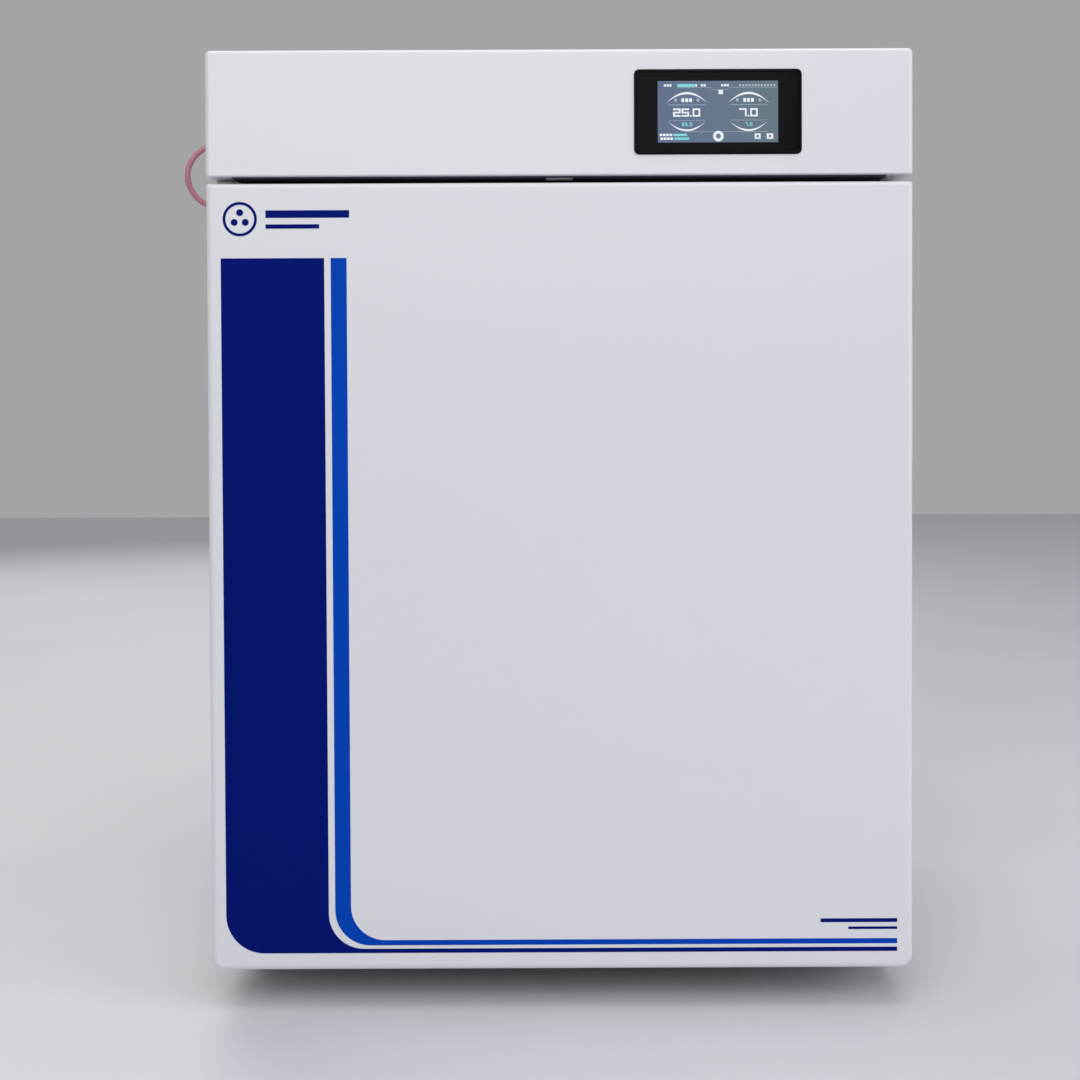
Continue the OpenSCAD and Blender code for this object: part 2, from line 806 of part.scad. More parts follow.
module door_gasket() {
    edge = 20;
    width = 14;
    corner_r = 16;
    color("black") seal_ring(door_back, frame_y - touch, side_x - edge,
                             [door_low + edge, door_top - edge], width, corner_r);
}

// Moulded recess in the door's right edge, with a thin flange on the outside
module handle_cup() {
    lip = 5;
    color("silver") difference() {
        union() {
            block([undercut_x - 4 - handle_wall, handle_y[0] - handle_wall, handle_z[0] - handle_wall],
                  [side_x + 0.5, handle_y[1] + handle_wall, handle_z[1] + handle_wall]);
            block([handle_x - handle_wall, undercut_y - handle_wall, handle_z[0] - handle_wall],
                  [undercut_x + handle_wall, handle_y[1] + handle_wall, handle_z[1] + handle_wall]);
            block([side_x, handle_y[0] - lip, handle_z[0] - lip],
                  [side_x + 1.5, handle_y[1] + lip, handle_z[1] + lip]);
        }
        grip_cut(0);
    }
}

// Half-plane to the right of x and above z with a rounded corner, cut off at the graphic's ends
module corner_region(x, z, r) {
    translate([x + r, z]) square([graphic_right - x - r, graphic_top - z]);
    translate([x, z + r]) square([graphic_right - x, graphic_top - z - r]);
    translate([x + r, z + r]) circle(r);
}

module navy_graphic() {
    foot_top = navy_low + navy_bar;
    color("midnightblue") along_y(face_y - film, face_y) difference() {
        corner_region(navy_x[0], navy_low, navy_outer_r);
        corner_region(navy_x[1], foot_top, navy_inner_r);
    }
}

module blue_graphic() {
    color("royalblue") along_y(face_y - film, face_y) difference() {
        corner_region(blue_x[0], blue_low, blue_outer_r);
        corner_region(blue_x[1], blue_low + blue_bar, blue_inner_r);
    }
}

// Plain mark: a dish with three colonies, beside two bars, and two small bars low on the right
module emblem() {
    color("midnightblue") along_y(face_y - film, face_y) {
        translate(emblem_at) {
            difference() {
                circle(16);
                circle(13.4);
            }
            for (a = [90, 210, 330])
                translate([6 * cos(a), 6 * sin(a)]) circle(3.2);
            translate([24, 1]) square([78, 7]);
            translate([24, -9]) square([50, 4]);
        }
        translate([243, 81]) square([72, 3.6]);
        translate([269, 74.4]) square([46, 2.4]);
    }
}

// Flanged nylon bushes in the door's top and bottom edges
module door_bushes() {
    flange = 0.9;
    color("white") difference() {
        union() {
            rod_z(door_pivot[0], door_pivot[1], door_top - bush_l, door_top + flange, bush_r);
            rod_z(door_pivot[0], door_pivot[1], door_top, door_top + flange, 9);
            rod_z(door_pivot[0], door_pivot[1], door_low - flange, door_low + bush_l, bush_r);
            rod_z(door_pivot[0], door_pivot[1], door_low - flange, door_low, 9);
        }
        rod_z(door_pivot[0], door_pivot[1], door_low - 5, door_top + 5, pin_r + run_fit);
    }
}

// ---- glass door ----

module glass_pane() {
    w = glass_right - glass_left;
    h = glass_top - glass_low;
    color("lightcyan") difference() {
        translate([glass_left + w / 2, 0, glass_low + h / 2]) along_y(glass_front, glass_back)
            rounded_rect(w, h, 6);
        rod_y(latch_x, glass_front - 1, glass_back + 1, latch_z, 4);
    }
}

// Hinge leaves on the glass: a knuckle, its pin down into the frame's block, and a front plate
module glass_clamps() {
    leaf_h = 24;
    color("gray") for (z = clamp_levels) {
        rod_z(glass_pivot[0], glass_pivot[1], z + touch, z + leaf_h, 6);
        rod_z(glass_pivot[0], glass_pivot[1], z - 28, z + leaf_h, 3);
        block([glass_pivot[0], glass_front - 3, z + touch], [-246, glass_front, z + leaf_h]);
    }
}

// Turning latch: a round knob with a finger bar and a tab; at rest the tab stands up, released
module latch_knob() {
    color("dimgray") {
        rod_y(latch_x, glass_front - 6, glass_front - touch, latch_z, 10);
        rod_y(latch_x, glass_front - 1, glass_back - 0.5, latch_z, 4 - run_fit);
        block([latch_x - 2.5, glass_front - 9, latch_z - 10],
              [latch_x + 2.5, glass_front - 5, latch_z + 10]);
        block([latch_x - 4, glass_front - 2.7, latch_z],
              [latch_x + 4, glass_front - 0.5, latch_z + latch_reach]);
    }
}

// ---- fan ----

module fan_rotor() {
    blades = 12;
    color("silver") translate([motor[0], motor[1], 0]) {
        rod_z(0, 0, fan_top - 10, header_z + 26, shaft_r);
        rod_z(0, 0, fan_top - 16, fan_top, 10);
        rod_z(0, 0, fan_top - 2, fan_top, fan_r);
        for (i = [0:blades - 1]) rotate([0, 0, i * 360 / blades])
            translate([26, -12, fan_low]) rotate([0, 0, 28]) cube([26, 1.2, fan_top - fan_low - 1]);
        difference() {
            rod_z(0, 0, fan_low, fan_low + 1.5, fan_r);
            rod_z(0, 0, fan_low - 1, fan_low + 3, 40);
        }
    }
}

module shelf_1() {
    shelf(0);
}
module shelf_2() {
    shelf(1);
}
module shelf_3() {
    shelf(2);
}

base_frame();
left_side_panel();
right_side_panel();
rear_panel();
front_frame();
chamber_insulation();
chamber_liner();
wall_heaters();
shelf_racks();
fan_plenum();
hepa_filter();
fan_motor();
chamber_sensors();
inner_gasket();
inner_door_hardware();
hinge_brackets();
hinge_pins();
door_sensor();
header_strip();
header_deck();
header_shell();
header_rear_cover();
display_bezel();
display_screen();
control_board();
power_supply();
solenoid_valve();
gas_filter();
gas_inlet();
sample_port();
power_inlet();
data_port();
access_tube();
rear_bumpers();
panel_screws();
hose_barbs();
gas_hose();
door_skin();
door_liner();
door_insulation();
door_gasket();
handle_cup();
navy_graphic();
blue_graphic();
emblem();
door_bushes();
glass_pane();
glass_clamps();
latch_knob();
shelf_1();
shelf_2();
shelf_3();
humidity_pan();
fan_rotor();
power_rocker();
access_plug();
foot(0);  // foot_1
foot(1);  // foot_2
foot(2);  // foot_3
foot(3);  // foot_4
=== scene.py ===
"""A laboratory incubator, built round its CAD frame, in metres. X runs to the right seen from the front,
Y to the back and Z up. The object is made from the outside in, in the order in which it is put together."""
from math import cos, floor, pi, radians, sin, tau

import bmesh
import bpy
from mathutils import Matrix, Vector


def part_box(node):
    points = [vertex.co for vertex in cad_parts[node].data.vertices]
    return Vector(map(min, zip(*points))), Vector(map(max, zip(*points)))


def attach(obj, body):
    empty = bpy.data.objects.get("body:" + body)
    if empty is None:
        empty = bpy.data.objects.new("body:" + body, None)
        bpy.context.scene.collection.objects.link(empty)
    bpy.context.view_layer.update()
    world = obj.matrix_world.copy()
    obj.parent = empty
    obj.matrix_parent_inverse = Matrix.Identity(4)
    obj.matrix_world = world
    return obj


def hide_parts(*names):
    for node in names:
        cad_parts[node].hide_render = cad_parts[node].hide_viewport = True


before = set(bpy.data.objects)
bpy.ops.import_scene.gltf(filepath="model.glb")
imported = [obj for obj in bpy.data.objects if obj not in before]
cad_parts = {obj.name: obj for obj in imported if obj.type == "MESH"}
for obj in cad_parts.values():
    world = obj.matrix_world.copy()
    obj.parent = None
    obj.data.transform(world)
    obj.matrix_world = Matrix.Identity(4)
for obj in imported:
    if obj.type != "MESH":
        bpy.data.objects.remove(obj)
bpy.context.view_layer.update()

# ---- Viewpoint ----
# Someone stands in front of the cabinet and looks a little down at it, from a bit over half its height.
# The camera leans by a quarter of a degree, as one held by hand does.
cabinet_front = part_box("door_skin")[0].y
stand_off = 1.5
eye_height = 0.575
look_down = radians(1.21)
lean = radians(-0.24)

viewpoint = bpy.data.objects.new("viewpoint", bpy.data.cameras.new("viewpoint"))
viewpoint.data.lens = 53.5
viewpoint.data.sensor_width = 36
viewpoint.data.shift_x = -0.0188
viewpoint.data.shift_y = -0.10
viewpoint.matrix_world = (
    Matrix.Translation((0, cabinet_front - stand_off, eye_height))
    @ Matrix.Rotation(pi / 2 - look_down, 4, "X")
    @ Matrix.Rotation(lean, 4, "Z")
)
bpy.context.scene.collection.objects.link(viewpoint)
bpy.context.scene.camera = viewpoint
bpy.context.scene.view_settings.view_transform = "Standard"


# ---- Studio ----
# A pale floor, an even grey surround, and four big soft lamps: in front, overhead, at the right and behind.
# Every lamp is aimed at the middle of the cabinet.
def paint(red, green, blue):
    """A colour on the 0 to 255 scale of a screen, as light."""
    light = [c / 255 / 12.92 if c < 11 else ((c / 255 + 0.055) / 1.055) ** 2.4 for c in (red, green, blue)]
    return (*light, 1)


def scaled(color, share):
    return (*[min(c * share, 1) for c in color[:3]], 1)


def shader_node(material, kind, **values):
    """Adds a shader node and sets its constant inputs, whose names have underscores for spaces."""
    made = material.node_tree.nodes.new("ShaderNode" + kind)
    for socket, value in values.items():
        made.inputs[socket.replace("_", " ")].default_value = value
    return made


def finish(name, color, rough, metal=0.0, mottle=0.05, patch=9.0, grain=1400.0, relief=0.04,
           brushed=(1, 1, 1), edge_wear_and_highlight=None, edge_band_width=0.0012, **sockets):
    """Makes a finish of its own: a broad mottle in colour and gloss, a fine relief, and a second colour along
    the edges, which where paler than the finish is a painted highlight on the edges and where darker (the
    brass) is real wear where the plating rubs off. Mottle is a share of the colour; patches and grain are
    counted per metre, in the object's own coordinates, so they have their real size."""
    made = bpy.data.materials.new(name)
    made.use_nodes = True
    link = made.node_tree.links.new
    shader = made.node_tree.nodes["Principled BSDF"]
    shader.inputs["Metallic"].default_value = metal
    for socket, value in sockets.items():
        shader.inputs[socket.replace("_", " ").title().replace("Ior", "IOR")].default_value = value

    place = shader_node(made, "TexCoord").outputs["Object"]
    broad = shader_node(made, "TexNoise", Scale=patch, Detail=6)
    link(place, broad.inputs["Vector"])
    tint = shader_node(made, "Mix")
    tint.data_type = "RGBA"
    tint.inputs[6].default_value = scaled(color, 1 - mottle)
    tint.inputs[7].default_value = scaled(color, 1 + mottle)
    link(broad.outputs["Fac"], tint.inputs[0])
    skin_color = tint.outputs[2]

    gloss = shader_node(made, "MapRange", From_Min=0.3, From_Max=0.7, To_Min=max(rough - 0.05, 0.02),
                        To_Max=min(rough + 0.05, 1))
    link(broad.outputs["Fac"], gloss.inputs["Value"])
    link(gloss.outputs["Result"], shader.inputs["Roughness"])

    lay = shader_node(made, "Mapping", Scale=brushed)
    link(place, lay.inputs["Vector"])
    fine = shader_node(made, "TexNoise", Scale=grain, Detail=3)
    link(lay.outputs["Vector"], fine.inputs["Vector"])
    bump = shader_node(made, "Bump", Strength=relief, Distance=0.0004)
    link(fine.outputs["Fac"], bump.inputs["Height"])
    link(bump.outputs["Normal"], shader.inputs["Normal"])

    # Edge colour: a paler one is a painted highlight along the edges, a darker one (the brass) is real wear
    # where the plating rubs off.
    if edge_wear_and_highlight:
        eased = shader_node(made, "Bevel", Radius=edge_band_width)
        eased.samples = 4
        true_face = shader_node(made, "NewGeometry").outputs["Normal"]
        agree = shader_node(made, "VectorMath")
        agree.operation = "DOT_PRODUCT"
        link(eased.outputs["Normal"], agree.inputs[0])
        link(true_face, agree.inputs[1])
        edge = shader_node(made, "MapRange", From_Min=0.97, From_Max=0.75)
        link(agree.outputs["Value"], edge.inputs["Value"])
        edge_tint_mask = shader_node(made, "Math")
        edge_tint_mask.operation = "MULTIPLY"
        link(edge.outputs["Result"], edge_tint_mask.inputs[0])
        link(broad.outputs["Fac"], edge_tint_mask.inputs[1])
        edge_tint_mix = shader_node(made, "Mix")
        edge_tint_mix.data_type = "RGBA"
        edge_tint_mix.inputs[7].default_value = edge_wear_and_highlight
        link(edge_tint_mask.outputs["Value"], edge_tint_mix.inputs[0])
        link(skin_color, edge_tint_mix.inputs[6])
        skin_color = edge_tint_mix.outputs[2]
    link(skin_color, shader.inputs["Base Color"])
    return made


def lamp(name, at, aim, size, watts, color):
    made = bpy.data.objects.new(name, bpy.data.lights.new(name, "AREA"))
    made.data.size = size
    made.data.energy = watts
    made.data.color = color
    made.location = at
    made.rotation_euler = (Vector(aim) - Vector(at)).to_track_quat("-Z", "Y").to_euler()
    bpy.context.scene.collection.objects.link(made)


cabinet_middle = (0, 0, 0.45)
lamp("front_lamp", (-0.45, -3.4, 2.4), cabinet_middle, 2.6, 46, (1, 0.98, 0.97))
lamp("ceiling_lamp", (0.2, -0.5, 3.0), cabinet_middle, 2.2, 30, (1, 1, 1))
lamp("right_lamp", (3.0, -1.6, 1.4), cabinet_middle, 2.0, 26, (0.95, 0.97, 1))
lamp("rear_lamp", (-1.5, 3.4, 2.4), cabinet_middle, 2.4, 40, (1, 1, 1))

surround = bpy.data.worlds.new("surround")
surround.use_nodes = True
surround.node_tree.nodes["Background"].inputs["Color"].default_value = paint(228, 230, 234)
surround.node_tree.nodes["Background"].inputs["Strength"].default_value = 0.47
bpy.context.scene.world = surround

floor_half = 6
floor_sheet = bpy.data.meshes.new("floor")
floor_sheet.from_pydata(
    [(-floor_half, -floor_half, 0), (floor_half, -floor_half, 0), (floor_half, floor_half, 0),
     (-floor_half, floor_half, 0)], [], [(0, 1, 2, 3)])
floor_sheet.materials.append(finish("pale_floor", paint(214, 216, 219), 0.55, mottle=0.02, patch=3,
                                    grain=300))
studio_floor = bpy.data.objects.new("studio_floor", floor_sheet)
bpy.context.scene.collection.objects.link(studio_floor)


# ---- Gas hose and its barbs ----
# Pink silicone tube, 6 mm thick, that carries gas from the header's side back into the cabinet's side in one
# open loop. It is pushed over two plated brass barbs with hexagonal roots.
def turned(form, at, axis, profile, sides=40):
    """Adds a lathe-turned solid: profile is a list of (distance along the axis, radius)."""
    along = {"x": Vector((1, 0, 0)), "y": Vector((0, 1, 0)), "z": Vector((0, 0, 1))}[axis]
    across = Vector((0, 1, 0)) if axis == "x" else Vector((1, 0, 0))
    third = along.cross(across)
    rings = []
    for reach, radius in profile:
        centre = Vector(at) + along * reach
        rings.append([
            centre + max(radius, 1e-5) * (across * cos(tau * k / sides) + third * sin(tau * k / sides))
            for k in range(sides)])
    return loft(form, rings)


def loft(form, rings, closed=False):
    """Adds a skin through rings of equal length, with a face on each end unless it closes on itself."""
    rows = [[form.verts.new(p) for p in ring] for ring in rings]
    count = len(rows[0])
    pairs = list(zip(rows, rows[1:])) + ([(rows[-1], rows[0])] if closed else [])
    for near, far in pairs:
        for k in range(count):
            form.faces.new((near[k], near[(k + 1) % count], far[(k + 1) % count], far[k]))
    if not closed:
        form.faces.new(rows[0])
        form.faces.new(rows[-1])
    return form


def piece(name, form, material, body, replaces=(), crease=38):
    """Turns a form into an object that rides on a body; edges sharper than the crease stay sharp."""
    bmesh.ops.recalc_face_normals(form, faces=form.faces)
    for face in form.faces:
        face.smooth = True
    for edge in form.edges:
        edge.smooth = len(edge.link_faces) == 2 and edge.calc_face_angle(pi) < radians(crease)
    mesh = bpy.data.meshes.new(name)
    form.to_mesh(mesh)
    form.free()
    mesh.materials.append(material)
    made = bpy.data.objects.new(name, mesh)
    bpy.context.scene.collection.objects.link(made)
    even = made.modifiers.new("even_faces", "WEIGHTED_NORMAL")
    even.keep_sharp = True
    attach(made, body)
    if replaces:
        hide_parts(*replaces)
    return made


hose_radius = 0.003
hose_high = Vector((-0.342, -0.175, 0.836))
hose_low = Vector((-0.342, -0.175, 0.771))
hose_route = [
    (-0.342, -0.175, 0.836), (-0.344, -0.175, 0.836), (-0.3465, -0.175, 0.836), (-0.355, -0.1755, 0.835),
    (-0.3625, -0.1765, 0.8315), (-0.3695, -0.178, 0.8265), (-0.3745, -0.1795, 0.8195),
    (-0.378, -0.1805, 0.812), (-0.379, -0.181, 0.8035), (-0.378, -0.1805, 0.795),
    (-0.3745, -0.1795, 0.7875), (-0.3695, -0.178, 0.7805), (-0.3625, -0.1765, 0.7755),
    (-0.355, -0.1755, 0.772), (-0.3465, -0.175, 0.771), (-0.344, -0.175, 0.771), (-0.342, -0.175, 0.771),
]
pink_silicone = finish("pink_silicone", paint(178, 118, 132), 0.34, mottle=0.06, patch=60, grain=500,
                       subsurface_weight=0.08, coat_weight=0.2)
hose_line = bpy.data.curves.new("gas_tube", "CURVE")
hose_line.dimensions = "3D"
hose_line.bevel_depth = hose_radius
hose_line.bevel_resolution = 6
hose_line.use_fill_caps = True
hose_line.resolution_u = 6
run = hose_line.splines.new("BEZIER")
run.bezier_points.add(len(hose_route) - 1)
for knot, at in zip(run.bezier_points, hose_route):
    knot.co = at
    knot.handle_left_type = "AUTO"
    knot.handle_right_type = "AUTO"
hose_line.materials.append(pink_silicone)
gas_tube = bpy.data.objects.new("gas_tube", hose_line)
bpy.context.scene.collection.objects.link(gas_tube)
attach(gas_tube, "cabinet")
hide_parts("gas_hose")

brass = finish("plated_brass", paint(196, 188, 168), 0.28, metal=1.0, mottle=0.08, patch=120, grain=2600,
               relief=0.06, edge_wear_and_highlight=paint(150, 128, 80))
barb_set = bmesh.new()
header_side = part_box("header_shell")[0].x
cabinet_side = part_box("left_side_panel")[0].x
for wall, tip in ((header_side, hose_high), (cabinet_side, hose_low)):
    root = (wall, tip.y, tip.z)
    turned(barb_set, root, "x", [(0, 0.0062), (-0.0005, 0.0062), (-0.0008, 0.0056), (-0.0052, 0.0056),
                                 (-0.006, 0.0048)], sides=6)
    turned(barb_set, root, "x", [(-0.0058, 0.0036), (-0.0066, 0.0036), (-0.0072, 0.0026), (-0.0086, 0.0026),
                                 (-0.0088, 0.0032), (tip.x - wall, 0.0022)], sides=24)
hose_barb_pair = piece("hose_barb_pair", barb_set, brass, "cabinet", ["hose_barbs"])
hose_ends = bmesh.new()
for wall, tip in ((header_side, hose_high), (cabinet_side, hose_low)):
    turned(hose_ends, tip, "x", [(-0.0006, 0.00302), (0.0002, 0.0033), (0.0016, 0.0035), (0.0026, 0.0035),
                                 (0.0032, 0.0031)], sides=28)
hose_cuffs = piece("hose_cuffs", hose_ends, pink_silicone, "cabinet")


# ---- Header shell ----
# Folded and welded 1.2 mm sheet steel with ground corners, powder coated in a cool white. It screws down on
# the header deck, with a window cut for the display.
def outline(left, right, low, top, low_r, top_r, steps=8):
    """Front-view outline with round corners, anticlockwise from the low left one, as (x, z)."""
    corners = ((left + low_r, low + low_r, low_r, 2), (right - low_r, low + low_r, low_r, 3),
               (right - top_r, top - top_r, top_r, 0), (left + top_r, top - top_r, top_r, 1))
    return [(x + r * cos(pi / 2 * (quarter + k / steps)), z + r * sin(pi / 2 * (quarter + k / steps)))
            for x, z, r, quarter in corners for k in range(steps + 1)]


def ring(left, right, low, top, low_r, top_r, y, steps=8):
    """Outline stood up at depth y."""
    return [Vector((x, y, z)) for x, z in outline(left, right, low, top, low_r, top_r, steps)]


def inset_ring(low, high, inset, low_r, top_r, y):
    """Outline of a box seen from the front, drawn in by the inset."""
    return ring(low.x + inset, high.x - inset, low.z + inset, high.z - inset, low_r, top_r, y)


def eased_front(left, right, low, top, low_r, top_r, front, ease, depth, steps=6):
    """Rings of a panel's rounded front edge; ease is how far it rounds over at the sides, bottom and top."""
    sides, bottom, head = ease
    rings = []
    for k in range(steps + 1):
        turn = pi / 2 * k / steps
        inset = 1 - sin(turn)
        rings.append(ring(left + sides * inset, right - sides * inset,
                          low + bottom * inset, top - head * inset,
                          max(low_r - bottom * inset, 0.0005), max(top_r - head * inset, 0.0005),
                          front + depth * (1 - cos(turn))))
    return rings


def block(form, low, high, ease=0.0006, steps=2):
    """Adds a box with eased edges, from its lowest to its highest corner."""
    size = [b - a for a, b in zip(low, high)]
    middle = [(a + b) / 2 for a, b in zip(low, high)]
    new = bmesh.ops.create_cube(form, size=1, matrix=Matrix.Translation(middle) @ Matrix.Diagonal((*size, 1)))
    if ease:
        edges = list({e for v in new["verts"] for e in v.link_edges})
        bmesh.ops.bevel(form, geom=edges, offset=ease, segments=steps, profile=0.5, affect="EDGES",
                        clamp_overlap=True)
    return form


def carve(form, cutter, crossing=False):
    """Cuts one closed form out of another and returns what is left; crossing is for cutters that overlap."""
    held = []
    for source in (form, cutter):
        bmesh.ops.recalc_face_normals(source, faces=source.faces)
        mesh = bpy.data.meshes.new("carving")
        source.to_mesh(mesh)
        source.free()
        held.append(bpy.data.objects.new("carving", mesh))
        bpy.context.scene.collection.objects.link(held[-1])
    cut = held[0].modifiers.new("cut", "BOOLEAN")
    cut.object = held[1]
    cut.solver = "EXACT"
    cut.use_self = crossing
    bpy.context.view_layer.update()
    left_over = bmesh.new()
    left_over.from_mesh(held[0].evaluated_get(bpy.context.evaluated_depsgraph_get()).data)
    for made in held:
        bpy.data.objects.remove(made)
    return left_over


sheet = 0.0012
# The white coat's paler edge colour is a painted highlight along its edges.
white_coat = finish("white_powder_coat", paint(226, 226, 231), 0.36, mottle=0.012, patch=2.4, grain=1100,
                    relief=0.045, edge_wear_and_highlight=paint(240, 240, 242), edge_band_width=0.0016, coat_weight=0.18)
side_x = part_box("header_shell")[1].x
header_low, header_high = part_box("header_shell")[0].z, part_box("header_shell")[1].z
header_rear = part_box("header_shell")[1].y
header_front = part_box("header_shell")[0].y
corner_r = 0.005
front_ease = (0.0045, 0.0015, 0.0035)
ease_depth = 0.0045
shell_form = bmesh.new()
outer_skin = eased_front(-side_x, side_x, header_low, header_high, 0.002, corner_r, header_front, front_ease,
                         ease_depth)
outer_skin.append(ring(-side_x, side_x, header_low, header_high, 0.002, corner_r, header_rear - 0.0004))
inner_side = side_x - sheet
inner_skin = [ring(-inner_side, inner_side, header_low + sheet, header_high - sheet, 0.001,
                   corner_r - sheet, y)
              for y in (header_rear, header_front + ease_depth)]
outer_skin.append(ring(-side_x + 0.0004, side_x - 0.0004, header_low + 0.0004, header_high - 0.0004, 0.002,
                       corner_r, header_rear))
inner_skin.append(ring(-inner_side + 0.006, inner_side - 0.006, header_low + sheet + 0.002,
                       header_high - sheet - 0.004, 0.001, 0.003, header_front + sheet))
loft(shell_form, outer_skin + inner_skin)

bezel_low, bezel_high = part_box("display_bezel")
window = bmesh.new()
loft(window, [inset_ring(bezel_low, bezel_high, 0.002, 0.003, 0.003, y)
              for y in (header_front - 0.01, header_front + 0.01)])
under_opening = block(bmesh.new(), (-inner_side + 0.002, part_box("front_frame")[0].y + 0.001,
                                    header_low - 0.01),
                      (inner_side - 0.002, header_rear - 0.002, header_low + 0.004), ease=0)
header_form = carve(carve(shell_form, window), under_opening)
piece("header_case", header_form, white_coat, "cabinet", ["header_shell"])


# ---- Display ----
# A glossy black moulded bezel frames a toughened touch glass. The lit panel behind it shows two round
# readings, with a status row above and three soft keys below. All figures on it are made up.
gloss_black = finish("gloss_black_plastic", paint(17, 16, 21), 0.2, mottle=0.1, patch=30, grain=900,
                     relief=0.02, edge_wear_and_highlight=paint(34, 34, 39), specular_ior_level=0.04)
touch_glass = finish("touch_glass", paint(14, 15, 21), 0.1, mottle=0.08, patch=25, grain=600, relief=0.005,
                     specular_ior_level=0.04)
rim = 0.003
bezel_r = 0.005
bezel_form = bmesh.new()
rim_rings = []
for inset, depth in ((0, 0.0065), (0, 0.0009), (0.0003, 0.0003), (0.0009, 0), (rim - 0.0008, 0),
                     (rim, 0.0007), (rim + 0.0001, 0.0065)):
    rim_rings.append(inset_ring(bezel_low, bezel_high, inset, bezel_r - inset * 0.6, bezel_r - inset * 0.6,
                                bezel_low.y + depth))
loft(bezel_form, rim_rings, closed=True)
piece("bezel_frame", bezel_form, gloss_black, "cabinet", ["display_bezel"])

glass_low, glass_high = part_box("display_screen")
glass_form = bmesh.new()
loft(glass_form, [inset_ring(glass_low, glass_high, inset, 0.003, 0.003, glass_low.y + depth)
                  for inset, depth in ((0.0004, 0), (0.0001, 0.0001), (0, 0.0004), (0, 0.006))])
piece("screen_cover", glass_form, touch_glass, "cabinet", ["display_screen"])

screen_middle = (bezel_low + bezel_high) / 2
screen_x, screen_z = screen_middle.x, screen_middle.z
lit_half_w = 0.056
lit_half_h = 0.0285
lit_y = glass_low.y - 0.00005


def glowing(name, color, strength, far_color=None):
    """Lit screen surface; with a far colour it shades from left to right across the panel."""
    made = finish(name, scaled(color, 0.1), 0.25, mottle=0.05, patch=200, specular_ior_level=0.04)
    shader = made.node_tree.nodes["Principled BSDF"]
    shader.inputs["Emission Strength"].default_value = strength
    shader.inputs["Emission Color"].default_value = color
    if far_color:
        link = made.node_tree.links.new
        split = shader_node(made, "SeparateXYZ")
        link(shader_node(made, "TexCoord").outputs["Object"], split.inputs["Vector"])
        across = shader_node(made, "MapRange", From_Min=screen_x - lit_half_w, From_Max=screen_x + lit_half_w)
        link(split.outputs["X"], across.inputs["Value"])
        shade = shader_node(made, "Mix")
        shade.data_type = "RGBA"
        shade.inputs[6].default_value = color
        shade.inputs[7].default_value = far_color
        link(across.outputs["Result"], shade.inputs[0])
        link(shade.outputs[2], shader.inputs["Emission Color"])
    return made


panel_glow = glowing("panel_glow", paint(99, 112, 143), 0.92, paint(104, 122, 130))
white_glow = glowing("white_glow", paint(232, 238, 244), 0.95)
teal_glow = glowing("teal_glow", paint(128, 214, 218), 0.95)
grey_glow = glowing("grey_glow", paint(172, 186, 200), 0.9)
lit_form = bmesh.new()
loft(lit_form, [ring(screen_x - lit_half_w, screen_x + lit_half_w, screen_z - lit_half_h,
                     screen_z + lit_half_h, 0.0003, 0.0003, y) for y in (lit_y, glass_low.y + 0.0005)])
piece("lit_panel", lit_form, panel_glow, "cabinet")

mark_y = (lit_y - 0.0001, lit_y + 0.0001)


def mm(value):
    return value / 1000


def bar(form, left, right, low, top):
    """A lit bar on the screen, in millimetres from the screen's middle."""
    edges = (screen_x + mm(left), screen_x + mm(right), screen_z + mm(low), screen_z + mm(top))
    loft(form, [[Vector((x, y, z)) for x, z in ((edges[0], edges[2]), (edges[1], edges[2]),
                                                (edges[1], edges[3]), (edges[0], edges[3]))]
                for y in mark_y])


def crescent(form, middle, half_w, end_z, rise, thick):
    """A lit arc over or under a reading, thick at its middle and thin at its ends."""
    steps = 24
    upper = []
    lower = []
    for k in range(steps + 1):
        across = -1 + 2 * k / steps
        crest = end_z + rise * (1 - across * across)
        half = max(thick * (1 - across * across), 0.12) / 2
        x = screen_x + mm(middle + half_w * across)
        upper.append((x, screen_z + mm(crest + half)))
        lower.append((x, screen_z + mm(crest - half)))
    edge = lower + upper[::-1]
    loft(form, [[Vector((x, y, z)) for x, z in edge] for y in mark_y])


# Which strokes of a seven-stroke figure are lit: top, upper right, lower right, bottom, lower left, upper
# left, middle.
strokes_of = {"0": "111111 ", "2": "11 11 1", "5": "1 11 11", "7": "111    "}


def figures(form, text, left, low, width, height, gap, stroke):
    """Adds a number to the form as seven-stroke figures, from left to right."""
    x = left
    for sign in text:
        if sign == ".":
            bar(form, x, x + stroke, low, low + stroke)
            x += stroke + gap
            continue
        top, middle, right = low + height, low + height / 2, x + width
        places = ((x, right, top - stroke, top), (right - stroke, right, middle, top),
                  (right - stroke, right, low, middle), (x, right, low, low + stroke),
                  (x, x + stroke, low, middle), (x, x + stroke, middle, top),
                  (x, right, middle - stroke / 2, middle + stroke / 2))
        for lit, place in zip(strokes_of[sign], places):
            if lit == "1":
                bar(form, *place)
        x = right + gap


white_marks = bmesh.new()
teal_marks = bmesh.new()
grey_marks = bmesh.new()
for left, right in ((-50.3, -40.5), (-21.3, -17.9), (-15.9, -8.3), (3, 12.2)):
    for k in range(int((right - left) / 2.6)):
        bar(white_marks, left + 2.6 * k, left + 2.6 * k + 2, 23.4, 25.4)
bar(teal_marks, -37.8, -21.8, 23, 25.6)
for k in range(12):
    bar(grey_marks, 19.7 + 2.9 * k, 21.6 + 2.9 * k, 23.5, 25.2)
bar(grey_marks, -37.8, -6, 22.2, 22.5)
bar(grey_marks, -6, 10, 20.3, 20.6)
bar(grey_marks, 10, 54.6, 22.2, 22.5)
bar(white_marks, 0.6, 4.8, 16.2, 20)

